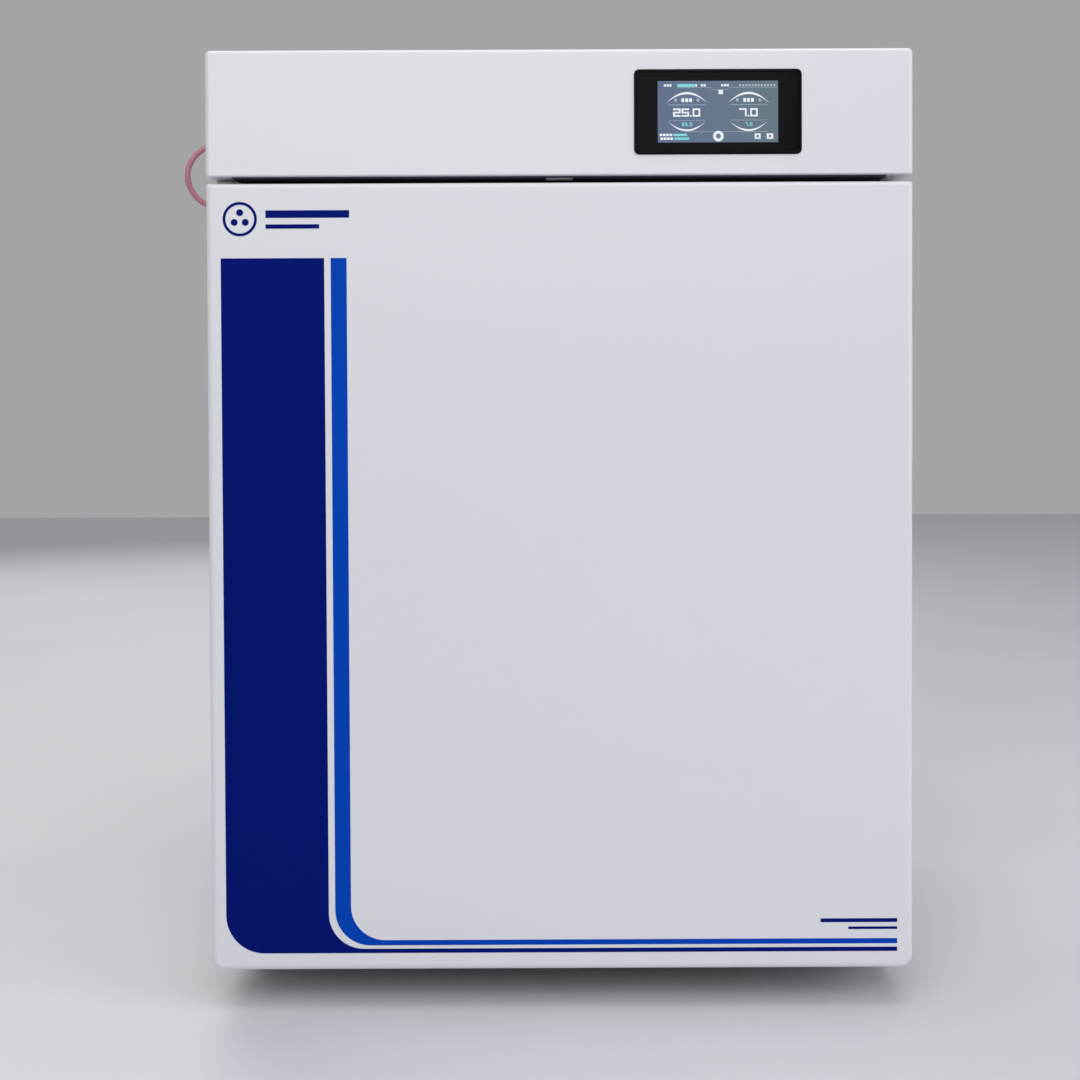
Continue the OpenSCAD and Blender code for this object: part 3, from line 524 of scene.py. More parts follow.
for middle, reading in ((-28.9, "25.0"), (28.6, "7.0")):
    crescent(white_marks, middle, 19, 8, 9.2, 2)
    crescent(white_marks, middle, 17, -9.5, -7.8, 1.7)
    bar(grey_marks, middle - 17.5, middle + 17.5, 6.2, 6.6)
    bar(grey_marks, middle - 17, middle + 17, -8.1, -7.8)
    for k in range(3):
        bar(white_marks, middle - 5 + 3.6 * k, middle - 2.4 + 3.6 * k, 9, 12.4)
    bar(grey_marks, middle - 11.5, middle - 9.3, 9.4, 12)
    bar(grey_marks, middle + 9.3, middle + 11.5, 9.4, 12)
    big_w, small_w = 7, 2.3
    digits = len(reading) - 1
    big_span = digits * (big_w + 0.9) + 2
    figures(white_marks, reading, middle - big_span / 2, -4.6, big_w, 7.6, 0.9, 1.5)
    small_span = digits * (small_w + 0.6) + 0.9
    figures(teal_marks, reading, middle - small_span / 2, -13.4, small_w, 3.4, 0.7, 0.7)
bar(grey_marks, -26.8, 47, -18.8, -18.5)
for low, white_end, teal_end in ((-22.5, -41.9, -28.9), (-26, -41.2, -26.8)):
    for k in range(4):
        bar(white_marks, white_end - 12.4 + 3.1 * k, white_end - 9.9 + 3.1 * k, low, low + 2.1)
    bar(teal_marks, white_end + 0.6, teal_end, low, low + 2.1)
for middle, half in ((36.9, 2.7), (48.4, 3)):
    bar(white_marks, middle - half, middle + half, -25.4, -20.4)
button_at = (screen_x + mm(0.4), mark_y[0], screen_z - mm(22.7))
turned(white_marks, button_at, "y", [(0, 0.0049), (mark_y[1] - mark_y[0], 0.0049)], sides=40)
key_form = bmesh.new()
turned(key_form, button_at, "y", [(-0.00005, 0.0024), (0.0001, 0.0024)], sides=24)
for middle in (36.9, 48.4):
    at = (screen_x + mm(middle), mark_y[0], screen_z - mm(22.9))
    turned(key_form, at, "y", [(-0.00005, 0.0013), (0.0001, 0.0013)], sides=24)
piece("screen_white_marks", white_marks, white_glow, "cabinet")
piece("screen_teal_marks", teal_marks, teal_glow, "cabinet")
piece("screen_grey_marks", grey_marks, grey_glow, "cabinet")
piece("screen_key_icons", key_form, glowing("key_icon_glow", paint(120, 132, 150), 0.8), "cabinet")

# ---- Outer door ----
# A deep folded tray of the same coated steel, with rolled front edges and bottom corners of 12 mm. Its right
# edge has a moulded grip cup, and two nylon bushes turn on steel pins at the left.
door_low_corner, door_high_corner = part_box("door_skin")
door_low, door_top = door_low_corner.z, door_high_corner.z
door_front, door_back = door_low_corner.y, door_high_corner.y
door_r = 0.012
door_top_r = 0.003
door_ease = (0.006, 0.006, 0.0045)
door_form = bmesh.new()
tray = eased_front(-side_x, side_x, door_low, door_top, door_r, door_top_r, door_front, door_ease,
                   ease_depth)
for inset, y in ((0, door_back - 0.0006), (0.0006, door_back), (sheet, door_back),
                 (sheet, door_front + 0.008)):
    tray.append(ring(-side_x + inset, side_x - inset, door_low + inset, door_top - inset, door_r - inset,
                     max(door_top_r - inset, 0.0008), y))
tray.append(ring(-side_x + 0.008, side_x - 0.008, door_low + 0.008, door_top - 0.008, door_r - 0.008, 0.0008,
                 door_front + sheet))
loft(door_form, tray)
cup_low, cup_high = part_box("handle_cup")
grip_left = 0.314
grip_front, grip_back = -0.312, -0.284
grip_margin = 0.003
grip = block(bmesh.new(), (grip_left, grip_front, cup_low.z + grip_margin),
             (side_x + 0.01, grip_back, cup_high.z - grip_margin), ease=0)
door_form = carve(door_form, grip)
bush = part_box("door_bushes")
pivot = Vector(((bush[0].x + bush[1].x) / 2, (bush[0].y + bush[1].y) / 2))
bush_r = 0.007
bores = bmesh.new()
for z in (door_low - 0.01, door_top - 0.02):
    turned(bores, (pivot.x, pivot.y, z), "z", [(0, bush_r), (0.03, bush_r)])
piece("door_tray", carve(door_form, bores), white_coat, "outer_door", ["door_skin"])


def dress(node, material):
    """Gives a CAD node its finish and leaves its mesh as it is."""
    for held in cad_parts[node].material_slots:
        held.material = material


nylon = finish("nylon", paint(226, 224, 214), 0.45, mottle=0.05, patch=80, grain=900, subsurface_weight=0.1)
dress("door_bushes", nylon)

# Grip cup: grey moulded plastic with a thin flange that hides the cut edge of the steel.
grip_grey = finish("grip_grey_plastic", paint(196, 197, 201), 0.42, mottle=0.04, patch=40, grain=1500,
                   relief=0.12, edge_wear_and_highlight=paint(222, 222, 224))
dress("handle_cup", grip_grey)

# ---- Door graphics ----
# Cut vinyl film, 0.2 mm thick, rolled on over the coating: a broad navy band, a narrow blue one, a plain ring
# with three dots and two bars, and two plain stripes.
navy_vinyl = finish("navy_vinyl", paint(3, 21, 112), 0.42, mottle=0.07, patch=3.2, grain=700, relief=0.03,
                    specular_ior_level=0.03)
blue_vinyl = finish("blue_vinyl", paint(3, 68, 182), 0.42, mottle=0.06, patch=3.2, grain=700, relief=0.03,
                    specular_ior_level=0.03)
dress("navy_graphic", navy_vinyl)
dress("emblem", navy_vinyl)
dress("blue_graphic", blue_vinyl)


# ---- Door liner, filling and seal ----
# The door's inside is closed by a coated pan with a raised middle that keeps the warm air off the seal. A
# hollow black rubber seal with two lips is pushed into a groove round it.
def frame_ring(form, left, right, low, top, corner, section):
    """Adds a frame of one cross-section: section is a list of (distance in from the outline, depth)."""
    loft(form, [ring(left + inset, right - inset, low + inset, top - inset, max(corner - inset, 0.0008),
                     max(corner - inset, 0.0008), y) for inset, y in section], closed=True)
    return form


liner_low, liner_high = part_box("door_liner")
raised_w, raised_h, raised_r = 0.270, 0.314, 0.022
raised_z = 0.410
plate_t = 0.0016
liner_form = bmesh.new()
liner_steps = [inset_ring(liner_low, liner_high, 0, 0.0106, 0.001, y)
               for y in (liner_low.y, liner_low.y + plate_t)]
for outset, rise in ((0.004, 0), (0.0018, 0.0006), (0.0006, 0.0018), (0, 0.0026), (-0.0012, 0.003),
                     (-0.004, 0.003)):
    liner_steps.append(ring(-raised_w - outset, raised_w + outset, raised_z - raised_h - outset,
                            raised_z + raised_h + outset, raised_r + outset, raised_r + outset,
                            liner_low.y + plate_t + rise))
loft(liner_form, liner_steps)
piece("door_inner_pan", liner_form, white_coat, "outer_door", ["door_liner"])

black_rubber = finish("black_rubber", paint(30, 30, 32), 0.62, mottle=0.12, patch=30, grain=700, relief=0.12,
                      edge_wear_and_highlight=paint(62, 62, 64))
seal_low, seal_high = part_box("door_gasket")
seal_w = 0.016
seal_form = bmesh.new()
frame_ring(seal_form, seal_low.x, seal_high.x, seal_low.z, seal_high.z, 0.014,
           [(0, seal_low.y + 0.001), (0.0008, seal_low.y), (seal_w - 0.0008, seal_low.y),
            (seal_w, seal_low.y + 0.001), (seal_w - 0.001, seal_high.y - 0.002),
            (seal_w - 0.0025, seal_high.y), (seal_w - 0.0045, seal_high.y - 0.0006),
            (seal_w * 0.62, seal_high.y - 0.0026), (seal_w * 0.38, seal_high.y - 0.0026),
            (0.0045, seal_high.y - 0.0006), (0.0025, seal_high.y), (0.001, seal_high.y - 0.002)])
piece("door_seal", seal_form, black_rubber, "outer_door", ["door_gasket"])
foam = finish("yellow_foam", paint(226, 208, 150), 0.9, mottle=0.12, patch=60, grain=400, relief=0.6)
core_form = loft(bmesh.new(), [
    ring(-side_x + inset, side_x - inset, door_low + inset, door_top - inset, door_r - inset, 0.0008, y)
    for inset, y in ((0.0085, door_front + 0.0018), (0.0018, door_front + 0.0088),
                     (0.0018, door_back - 0.0019))])
core_cut = block(bmesh.new(), (cup_low.x - 0.0005, cup_low.y - 0.001, cup_low.z + 0.0025),
                 (side_x + 0.01, cup_high.y + 0.001, cup_high.z - 0.0025), ease=0)
core_bores = bmesh.new()
for z in (door_low - 0.01, door_top - 0.0215):
    turned(core_bores, (pivot.x, pivot.y, z), "z", [(0, 0.0073), (0.0315, 0.0073)])
piece("foam_core", carve(carve(core_form, core_cut), core_bores), foam, "outer_door",
      ["door_insulation"])

# ---- Side and rear panels, base ----
# Coated sheet with folded front flanges that show as a bright line behind the door. The rear sheet is
# stiffened by a pressed bead. The base plate and the header deck are galvanised.
galvanised = finish("galvanised_steel", paint(176, 180, 184), 0.38, metal=0.9, mottle=0.16, patch=45,
                    grain=500, relief=0.08, edge_wear_and_highlight=paint(208, 210, 212))
for side, node in ((-1, "left_side_panel"), (1, "right_side_panel")):
    panel_low, panel_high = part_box(node)
    flange = 0.008
    fold = 0.002
    outer = panel_low.x if side < 0 else panel_high.x
    plan = [(outer - side * flange, panel_low.y + sheet), (outer - side * flange, panel_low.y)]
    plan += [(outer - side * fold * (1 - sin(pi / 2 * k / 5)), panel_low.y + fold * (1 - cos(pi / 2 * k / 5)))
             for k in range(6)]
    plan += [(outer, panel_high.y - 0.0003), (outer - side * 0.0003, panel_high.y),
             (outer - side * sheet, panel_high.y), (outer - side * sheet, panel_low.y + fold + 0.0006),
             (outer - side * (sheet + 0.0008), panel_low.y + sheet)]
    side_form = loft(bmesh.new(), [[Vector((x, y, z)) for x, y in plan] for z in (panel_low.z, panel_high.z)])
    piece(node.replace("panel", "sheet"), side_form, white_coat, "cabinet", [node])
rear_low, rear_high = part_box("rear_panel")
bead_x, bead_low, bead_high, bead_r = 0.272, 0.058, 0.758, 0.024
rear_form = bmesh.new()
rear_steps = [inset_ring(rear_low, rear_high, inset, 0.001, 0.001, y)
              for inset, y in ((0, rear_low.y), (0, rear_high.y - 0.0004), (0.0004, rear_high.y))]
for inset, rise in ((0, 0), (0.002, 0.0006), (0.004, 0.0014), (0.006, 0.0017), (0.008, 0.0014),
                    (0.010, 0.0006), (0.012, 0)):
    rear_steps.append(ring(-bead_x + inset, bead_x - inset, bead_low + inset, bead_high - inset,
                           bead_r - inset, bead_r - inset, rear_high.y + rise))
tube_low, tube_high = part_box("access_tube")
tube_x, tube_z = (tube_low.x + tube_high.x) / 2, (tube_low.z + tube_high.z) / 2
tube_hole_r = 0.0172
tube_hole = turned(bmesh.new(), (tube_x, rear_low.y - 0.005, tube_z), "y",
                   [(0, tube_hole_r), (0.01, tube_hole_r)])
piece("rear_sheet", carve(loft(rear_form, rear_steps), tube_hole), white_coat, "cabinet",
      ["rear_panel"])
dress("header_rear_cover", white_coat)
for node in ("base_frame", "header_deck", "power_supply"):
    dress(node, galvanised)

# ---- Front frame, hinge and door sensor ----
# The front frame is a moulded thermal break, coloured dark grey as painted shade for the gap over the door.
# Zinc plated brackets carry the door's pins, a white reed switch sits under the header, and a foam strip
# fills the space above the door, coloured dark blue-grey as painted shade in that gap.
# Dark grey frame colour: painted shade for the gap between the door and the header.
frame_plastic_gap_shade = finish("frame_plastic_painted_gap_shade", paint(70, 71, 76), 0.5, mottle=0.08, patch=24, grain=1300,
                      relief=0.2, edge_wear_and_highlight=paint(98, 98, 102))
zinc = finish("zinc_plate", paint(186, 188, 186), 0.34, metal=1.0, mottle=0.12, patch=70, grain=1800,
              relief=0.06, edge_wear_and_highlight=paint(214, 214, 212))
dress("front_frame", frame_plastic_gap_shade)
dress("hinge_brackets", zinc)
dress("hinge_pins", zinc)
dress("door_sensor", finish("sensor_white", paint(205, 205, 208), 0.4, mottle=0.04, patch=60, grain=900))
# Dark blue-grey foam colour: painted shade for the gap between the door and the header.
dress("header_strip", finish("foam_strip_painted_gap_shade", paint(64, 61, 78), 0.95, mottle=0.2, patch=200, grain=1600,
                             relief=0.5))

# ---- Chamber ----
# Deep-drawn and welded stainless box with coved corners and a coved back, brushed front to back, with foil
# heaters outside it and glass wool round it.
stainless = finish("brushed_stainless", paint(204, 205, 206), 0.33, metal=1.0, mottle=0.04, patch=5, grain=60,
                   relief=0.02, brushed=(9, 0.5, 9))
stainless_wire = finish("polished_stainless", paint(206, 206, 207), 0.2, metal=1.0, mottle=0.06, patch=60,
                        grain=900, relief=0.04, edge_wear_and_highlight=paint(228, 228, 228))
box_low, box_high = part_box("chamber_liner")
liner_t = 0.0015
cove = 0.020
chamber_form = bmesh.new()
inner = (box_low.x + liner_t, box_high.x - liner_t, box_low.z + liner_t, box_high.z - liner_t)
back_y = box_high.y - liner_t
chamber_rings = []
for k in range(9):
    turn = pi / 2 * k / 8
    inset = cove * (1 - sin(turn))
    chamber_rings.append(ring(inner[0] + inset, inner[1] - inset, inner[2] + inset, inner[3] - inset,
                              max(cove - inset, 0.0006), max(cove - inset, 0.0006),
                              back_y - cove * (1 - cos(turn))))
chamber_rings.append(ring(*inner, cove, cove, box_low.y + 0.0004))
for outset, y in ((0.0004, box_low.y), (liner_t, box_low.y), (liner_t, box_high.y)):
    chamber_rings.append(ring(inner[0] - outset, inner[1] + outset, inner[2] - outset, inner[3] + outset,
                              cove + outset, cove + outset, y))
loft(chamber_form, chamber_rings)
fan_y = 0.03
shaft_hole_r = 0.006
holes = bmesh.new()
turned(holes, (tube_x, back_y - 0.003, tube_z), "y", [(0, tube_hole_r), (0.01, tube_hole_r)])
turned(holes, (0, fan_y, inner[3] - 0.003), "z", [(0, shaft_hole_r), (0.01, shaft_hole_r)])
piece("chamber_box", carve(chamber_form, holes), stainless, "cabinet", ["chamber_liner"])
collar_form = bmesh.new()
wall_gap = 0.0014
collar_reach = 0.0016
wall_line = (inner[0] - wall_gap, inner[1] + wall_gap, inner[2] - wall_gap, inner[3] + wall_gap)
frame_line = (inner[0] - collar_reach, inner[1] + collar_reach, inner[2] - collar_reach,
              inner[3] + collar_reach)
collar_front, collar_back = box_low.y + 0.0002, box_low.y + liner_t
loft(collar_form, [ring(*frame_line, 0.001, 0.001, collar_front),
                   ring(*wall_line, cove + wall_gap, cove + wall_gap, collar_front),
                   ring(*wall_line, cove + wall_gap, cove + wall_gap, collar_back),
                   ring(*frame_line, 0.001, 0.001, collar_back)], closed=True)
piece("chamber_collar", collar_form, stainless, "cabinet")
dress("wall_heaters", finish("heater_foil", paint(206, 142, 74), 0.3, metal=0.6, mottle=0.15, patch=50,
                             grain=300, relief=0.3))
dress("chamber_insulation", finish("glass_wool", paint(222, 202, 142), 0.95, mottle=0.18, patch=90, grain=700,
                                   relief=0.9))
for node in ("shelf_racks", "fan_plenum", "access_tube"):
    dress(node, stainless_wire)

# ---- Shelves and humidity pan ----
# Shelves are punched stainless sheet with a plain border and folded front and back lips; the pan is pressed,
# with round corners and a rolled rim, and holds water on the chamber floor.
hole_pitch = 0.0215
hole_r = 0.0062
hole_sides = 12


def punched_cell(form, x, y, low, top):
    """Adds one square of sheet with a round hole, through both faces."""
    half = hole_pitch / 2
    corners = [(half, half), (-half, half), (-half, -half), (half, -half)]
    rims = []
    for z in (low, top):
        hole = [form.verts.new((x + hole_r * cos(tau * (k + 0.5) / hole_sides),
                                y + hole_r * sin(tau * (k + 0.5) / hole_sides),
                                z)) for k in range(hole_sides)]
        edge = [form.verts.new((x + a, y + b, z)) for a, b in corners]
        rims.append(hole)
        per_side = hole_sides // 4
        for q in range(4):
            first = q * per_side
            span = [hole[(first + k) % hole_sides] for k in range(per_side)]
            for a, b in zip(span, span[1:]):
                form.faces.new((edge[q], a, b))
            form.faces.new((edge[q], span[-1], hole[(first + per_side) % hole_sides], edge[(q + 1) % 4]))
    for k in range(hole_sides):
        form.faces.new((rims[0][k], rims[0][(k + 1) % hole_sides], rims[1][(k + 1) % hole_sides], rims[1][k]))


shelf_t = 0.0015
columns, rows = 22, 19
for number in (1, 2, 3):
    body = f"shelf_{number}"
    low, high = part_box(body)
    top = high.z
    shelf_form = bmesh.new()
    grid_x = -columns * hole_pitch / 2
    grid_y = (low.y + high.y) / 2 - rows * hole_pitch / 2
    for i in range(columns):
        for j in range(rows):
            punched_cell(shelf_form, grid_x + (i + 0.5) * hole_pitch, grid_y + (j + 0.5) * hole_pitch,
                         top - shelf_t, top)
    bmesh.ops.remove_doubles(shelf_form, verts=shelf_form.verts, dist=1e-5)
    grid_right, grid_back = -grid_x, grid_y + rows * hole_pitch
    border = ((low.x, low.y, high.x, grid_y), (low.x, grid_back, high.x, high.y),
              (low.x, grid_y, grid_x, grid_back), (grid_right, grid_y, high.x, grid_back))
    for x0, y0, x1, y1 in border:
        block(shelf_form, (x0, y0, top - shelf_t), (x1, y1, top), ease=0.0003)
    lip_x = 0.236
    for y0 in (low.y, high.y - shelf_t):
        block(shelf_form, (-lip_x, y0, low.z), (lip_x, y0 + shelf_t, top - 0.0004), ease=0.0005)
    piece(f"punched_{body}", shelf_form, stainless_wire, body, [body])

pan_low, pan_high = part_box("humidity_pan")
rim_w = 0.006
pan_t = 0.0012
pan_r = 0.018
pan_form = bmesh.new()


def pan_ring(outset, z):
    """Pan outline at a height; the plan lies flat, so the outline's second value is the depth."""
    return [Vector((x, y, z)) for x, y in outline(pan_low.x + rim_w - outset, pan_high.x - rim_w + outset,
                                                  pan_low.y + rim_w - outset, pan_high.y - rim_w + outset,
                                                  pan_r + outset, pan_r + outset)]


outside_steps = ((-0.006, 0), (-0.0015, 0.002), (0, 0.007))
rim_steps = ((0, -0.003), (rim_w - 0.001, -0.003), (rim_w, -0.002), (rim_w - 0.0008, -0.0004),
             (rim_w - 0.0025, 0), (0, -0.0006), (-pan_t, -0.003))
inside_steps = ((-pan_t, 0.007), (-0.0028, 0.003), (-0.007, pan_t))
pan_rings = [pan_ring(outset, pan_low.z + rise) for outset, rise in outside_steps]
pan_rings += [pan_ring(outset, pan_high.z + rise) for outset, rise in rim_steps]
pan_rings += [pan_ring(outset, pan_low.z + rise) for outset, rise in inside_steps]
loft(pan_form, pan_rings)
piece("pressed_pan", pan_form, stainless_wire, "humidity_pan", ["humidity_pan"])

# ---- Air filter, fan and sensors ----
# The round filter has sixty pleats of white glass paper between two plastic end rings. The fan and its motor
# are plain pressed steel; the sensors end in a sintered metal cap and a bare probe.
filter_white = finish("filter_plastic", paint(226, 227, 226), 0.5, mottle=0.04, patch=50, grain=900,
                      relief=0.1)
pleat_paper = finish("pleat_paper", paint(236, 236, 230), 0.85, mottle=0.05, patch=80, grain=900, relief=0.3)
filter_low, filter_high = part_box("hepa_filter")
filter_x, filter_y = (filter_low.x + filter_high.x) / 2, (filter_low.y + filter_high.y) / 2
filter_r = (filter_high.x - filter_low.x) / 2
end_ring = 0.006
caps_form = bmesh.new()
for z in (filter_low.z, filter_high.z - end_ring):
    turned(caps_form, (filter_x, filter_y, z), "z",
           [(0, filter_r - 0.001), (0.001, filter_r), (end_ring - 0.001, filter_r),
            (end_ring, filter_r - 0.001)], 72)
turned(caps_form, (filter_x, filter_y, filter_low.z - 0.0005), "z",
       [(0, 0.02), (0.001, 0.022), (0.004, 0.022)], 48)
piece("filter_end_rings", caps_form, filter_white, "cabinet", ["hepa_filter"])
pleats = 60
pleat_form = bmesh.new()
pleat_ring = [(filter_r - (0.006 if k % 2 else 0.015), tau * k / (2 * pleats)) for k in range(2 * pleats)]
loft(pleat_form, [[Vector((filter_x + r * cos(a), filter_y + r * sin(a), z)) for r, a in pleat_ring]
                  for z in (filter_low.z + end_ring - 0.001, filter_high.z - end_ring + 0.001)])
piece("filter_pleats", pleat_form, pleat_paper, "cabinet", crease=20)
dress("fan_rotor", stainless_wire)
dress("fan_motor", finish("motor_metal", paint(120, 124, 130), 0.4, metal=0.8, mottle=0.1, patch=60,
                          grain=1200, relief=0.1, edge_wear_and_highlight=paint(170, 172, 174)))
sensor_metal = finish("sensor_metal", paint(188, 188, 186), 0.45, metal=0.9, mottle=0.1, patch=200,
                      grain=2600, relief=0.5)
sensor_low, sensor_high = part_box("chamber_sensors")
sensor_form = bmesh.new()
gas_cell_r, probe_r = 0.013, 0.003
sensor_x, sensor_y = 0.150, 0.060
hang = sensor_high.z
turned(sensor_form, (sensor_x, -sensor_y, sensor_low.z), "z",
       [(0, 0.010), (0.0015, 0.0125), (0.003, gas_cell_r), (0.016, gas_cell_r), (0.0165, 0.0118),
        (0.0175, 0.0118), (0.018, gas_cell_r), (hang - sensor_low.z, gas_cell_r)], 48)
turned(sensor_form, (sensor_x, sensor_y, sensor_low.z + 0.002), "z",
       [(0, 0.0008), (0.0006, 0.0022), (0.002, probe_r), (0.030, probe_r), (0.0301, 0.005), (0.034, 0.005),
        (hang - sensor_low.z - 0.002, 0.005)], 24)
piece("sensor_pair", sensor_form, sensor_metal, "cabinet", ["chamber_sensors"])

# ---- Glass inner door ----
# A 5 mm toughened pane with ground edges closes on a silicone seal. Two stainless leaves hold it at the left,
# and a turned knob with a finger bar latches it at the right.
silicone = finish("white_silicone", paint(214, 214, 208), 0.5, mottle=0.06, patch=60, grain=900, relief=0.1,
                  subsurface_weight=0.1)
inner_low, inner_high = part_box("inner_gasket")
inner_w = 0.008
depth = inner_high.y - inner_low.y
gasket_form = frame_ring(
    bmesh.new(), inner_low.x, inner_high.x, inner_low.z, inner_high.z, 0.012,
    [(0.0005, inner_high.y), (0, inner_high.y - 0.0004), (0.001, inner_low.y + depth * 0.3),
     (inner_w * 0.35, inner_low.y), (inner_w * 0.65, inner_low.y),
     (inner_w - 0.001, inner_low.y + depth * 0.3), (inner_w, inner_high.y - 0.0004),
     (inner_w - 0.0005, inner_high.y)])
piece("glass_door_seal", gasket_form, silicone, "cabinet", ["inner_gasket"])
dress("inner_door_hardware", stainless_wire)

clear_glass = finish("clear_glass", paint(246, 252, 250), 0.03, mottle=0.004, patch=3, relief=0.0,
                     transmission_weight=0.97, ior=1.5)
pane_low, pane_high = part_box("glass_pane")
pane_form = bmesh.new()
chamfer = 0.0008
loft(pane_form, [inset_ring(pane_low, pane_high, inset, 0.006 - inset, 0.006 - inset, y)
                 for inset, y in ((chamfer, pane_low.y), (0, pane_low.y + chamfer),
                                  (0, pane_high.y - chamfer), (chamfer, pane_high.y))])
latch_x, latch_z = 0.262, (pane_low.z + pane_high.z) / 2
latch_hole = turned(bmesh.new(), (latch_x, pane_low.y - 0.002, latch_z), "y", [(0, 0.004), (0.009, 0.004)])
piece("door_glass", carve(pane_form, latch_hole), clear_glass, "glass_door", ["glass_pane"])
dress("glass_clamps", stainless_wire)
knob_form = bmesh.new()
knob_low, knob_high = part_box("latch_knob")
turned(knob_form, (latch_x, pane_low.y - 0.006, latch_z), "y",
       [(0, 0.0086), (0.0004, 0.0096), (0.0012, 0.010), (0.0030, 0.010), (0.0034, 0.0094), (0.0040, 0.0094),
        (0.0044, 0.010), (0.0057, 0.010)])
turned(knob_form, (latch_x, pane_low.y - 0.001, latch_z), "y",
       [(0, 0.0039), (pane_high.y - pane_low.y, 0.0039)])
block(knob_form, (latch_x - 0.0025, knob_low.y, latch_z - 0.010),
      (latch_x + 0.0025, pane_low.y - 0.0055, latch_z + 0.010), ease=0.0012, steps=3)
block(knob_form, (latch_x - 0.004, pane_low.y - 0.0027, latch_z),
      (latch_x + 0.004, pane_low.y - 0.0005, knob_high.z), ease=0.0006)
piece("turned_latch", knob_form, zinc, "glass_latch", ["latch_knob"])

# ---- Header fittings ----
# Hidden under the header: a green control board, a gas valve with a brass body, and an inline gas filter in
# a white plastic case. Real ones are screwed to the header deck.
dress("control_board", finish("circuit_board", paint(34, 92, 60), 0.35, mottle=0.2, patch=150, grain=700,
                              relief=0.2, edge_wear_and_highlight=paint(120, 130, 90)))
dress("solenoid_valve", brass)
dress("gas_filter", filter_white)

# ---- Rear fittings ----
# Gas and sample ports are barbed brass bulkheads. Beside them sit the mains inlet with its red rocker and the
# data port; a silicone plug closes the access tube, and four rubber bumpers keep the air gap to a wall.
for node, barb_r in (("gas_inlet", 0.004), ("sample_port", 0.003)):
    port_low, port_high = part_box(node)
    port_x, port_z = (port_low.x + port_high.x) / 2, (port_low.z + port_high.z) / 2
    reach = port_high.y - header_rear
    port_form = turned(bmesh.new(), (port_x, header_rear, port_z), "y",
                       [(0, 0.0082), (0.0006, 0.0085), (0.005, 0.0085), (0.006, 0.0078)], sides=6)
    port_profile = [(-0.014, 0.0048), (0.0065, 0.0048), (0.007, barb_r - 0.0006)]
    barbs = 3
    for k in range(barbs):
        start = 0.008 + k * (reach - 0.009) / barbs
        port_profile += [(start, barb_r - 0.0007), (start + 0.0003, barb_r)]
        port_profile += [(start + (reach - 0.010) / barbs, barb_r - 0.0007)]
    port_profile += [(reach, barb_r - 0.0012)]
    turned(port_form, (port_x, header_rear, port_z), "y", port_profile, sides=32)
    piece(f"{node}_barb", port_form, brass, "cabinet", [node])
black_moulding = finish("black_moulding", paint(34, 34, 37), 0.48, mottle=0.1, patch=60, grain=1600,
                        relief=0.25, edge_wear_and_highlight=paint(64, 64, 66))
dress("power_inlet", black_moulding)
inlet_low, inlet_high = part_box("power_inlet")
inlet_x = inlet_high.x - 0.024
inlet_z = (inlet_low.z + inlet_high.z) / 2
blade_form = bmesh.new()
blade_pitch = 0.007
blade_root, blade_tip = 0.2832, 0.2963
blade_half_w, blade_half_h = 0.0011, 0.0031
for x in (inlet_x - blade_pitch, inlet_x, inlet_x + blade_pitch):
    block(blade_form, (x - blade_half_w, blade_root, inlet_z - blade_half_h),
          (x + blade_half_w, blade_tip, inlet_z + blade_half_h), ease=0.0004)
piece("inlet_blades", blade_form, zinc, "cabinet")
dress("data_port", zinc)
dress("power_rocker", finish("red_switch", paint(176, 34, 30), 0.35, mottle=0.08, patch=80, grain=900,
                             edge_wear_and_highlight=paint(206, 92, 84)))

plug_low, plug_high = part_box("access_plug")
flange_y = plug_high.y - 0.0097
plug_form = turned(
    bmesh.new(), (tube_x, 0, tube_z), "y",
    [(plug_low.y, 0.0125), (plug_low.y + 0.002, 0.0138), (plug_low.y + 0.020, 0.0144), (flange_y, 0.0147),
     (flange_y, 0.0205), (flange_y + 0.0007, 0.0210), (flange_y + 0.0037, 0.0210),
     (flange_y + 0.0045, 0.0203), (flange_y + 0.0055, 0.0203), (flange_y + 0.0063, 0.0210),
     (plug_high.y - 0.001, 0.0210), (plug_high.y, 0.0198), (plug_high.y, 0.0120),
     (plug_high.y - 0.0015, 0.0110), (plug_high.y - 0.0015, 0)], 56)
piece("silicone_plug", plug_form, silicone, "access_plug", ["access_plug"])

bumper_low, bumper_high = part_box("rear_bumpers")
bumper_r = 0.014
bumper_form = bmesh.new()
screw_form = bmesh.new()
for x in (bumper_low.x + bumper_r, bumper_high.x - bumper_r):
    for z in (bumper_low.z + bumper_r, bumper_high.z - bumper_r):
        turned(bumper_form, (x, 0, z), "y",
               [(bumper_low.y, bumper_r), (bumper_high.y - 0.009, bumper_r), (bumper_high.y - 0.008, 0.0132),
                (bumper_high.y - 0.007, bumper_r), (bumper_high.y - 0.0025, bumper_r),
                (bumper_high.y - 0.0006, 0.0128), (bumper_high.y, 0.0112), (bumper_high.y, 0.0046),
                (bumper_high.y - 0.005, 0.0042), (bumper_high.y - 0.005, 0)], 48)
rubber = finish("grey_rubber", paint(58, 58, 60), 0.7, mottle=0.1, patch=60, grain=900, relief=0.3,
                edge_wear_and_highlight=paint(84, 84, 84))
piece("bumper_set", bumper_form, rubber, "cabinet", ["rear_bumpers"])


def crowned_head(form, x, y, z, radius, head):
    """Adds the low crowned head of a screw that faces backwards."""
    turned(form, (x, y, z), "y", [(0, radius), (head * 0.35, radius), (head * 0.8, radius * 0.82),
                                  (head, radius * 0.5), (head, radius * 0.3)], 32)


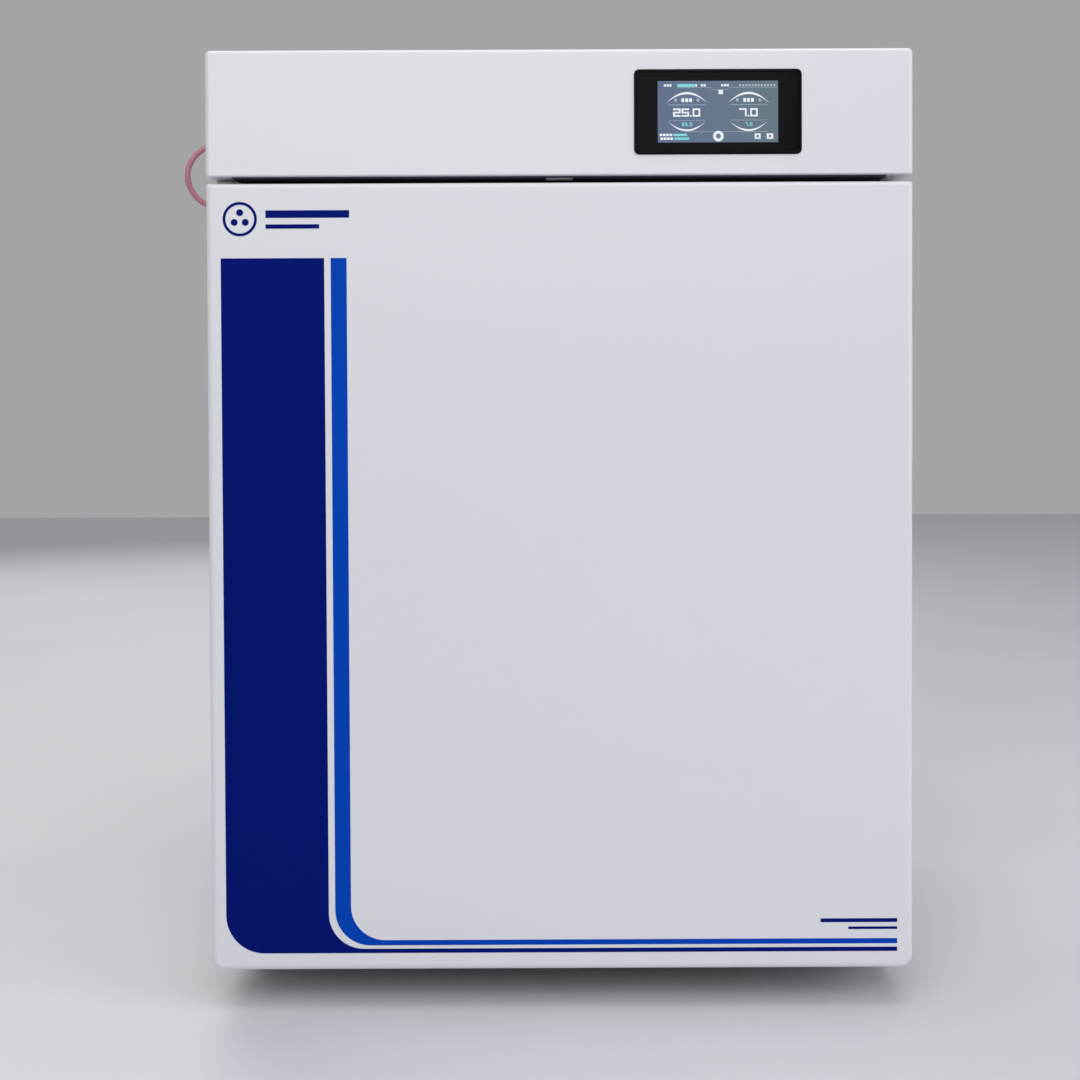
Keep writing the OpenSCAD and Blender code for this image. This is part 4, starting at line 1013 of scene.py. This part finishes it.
screw_low, screw_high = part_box("panel_screws")
screw_x = screw_high.x - 0.004
screw_head = 0.0012
panel_levels = (0.070, 0.280, 0.500, 0.740)
header_levels = (header_low + 0.014, header_high - 0.022)
slots = bmesh.new()
for x in (-screw_x, screw_x):
    for z in panel_levels:
        crowned_head(screw_form, x, screw_low.y, z, 0.004, screw_head)
    for z in header_levels:
        crowned_head(screw_form, x, screw_low.y, z, 0.0035, screw_head)
    for z in (*panel_levels, *header_levels):
        for wide, tall in ((0.0020, 0.0004), (0.0004, 0.0020)):
            block(slots, (x - wide, screw_low.y + 0.0005, z - tall),
                  (x + wide, screw_low.y + 0.002, z + tall), ease=0)
piece("panel_screw_set", carve(screw_form, slots, crossing=True), zinc, "cabinet",
      ["panel_screws"])

# ---- Levelling feet ----
# A ribbed rubber pad under a zinc plated hexagon and stud. The stud screws up into the base, which levels
# the cabinet.
for number in (1, 2, 3, 4):
    body = f"foot_{number}"
    low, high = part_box(body)
    x, y = (low.x + high.x) / 2, (low.y + high.y) / 2
    pad_r = (high.x - low.x) / 2
    pad_form = turned(bmesh.new(), (x, y, 0), "z",
                      [(0, pad_r - 0.003), (0.0006, pad_r - 0.001), (0.0016, pad_r), (0.0034, pad_r),
                       (0.0038, pad_r - 0.0007), (0.0044, pad_r - 0.0007), (0.0048, pad_r), (0.0066, pad_r),
                       (0.0078, pad_r - 0.0012), (0.0095, 0.0155), (0.010, 0.0140)], 64)
    piece(f"{body}_pad", pad_form, rubber, body, [body])
    stud_form = turned(bmesh.new(), (x, y, 0), "z", [(0.0095, 0.0112), (0.0102, 0.012), (0.0168, 0.012),
                                                     (0.0175, 0.0112)], 6)
    thread_pitch = 0.0015
    thread = [(0.0170, 0.0052)]
    turns = floor((high.z - 0.0180) / thread_pitch)
    for k in range(turns):
        thread += [(0.0178 + k * thread_pitch, 0.0052), (0.0178 + (k + 0.5) * thread_pitch, 0.006)]
    thread += [(high.z - 0.0004, 0.0052), (high.z, 0.0048)]
    turned(stud_form, (x, y, 0), "z", thread, 32)
    piece(f"{body}_stud", stud_form, zinc, body)
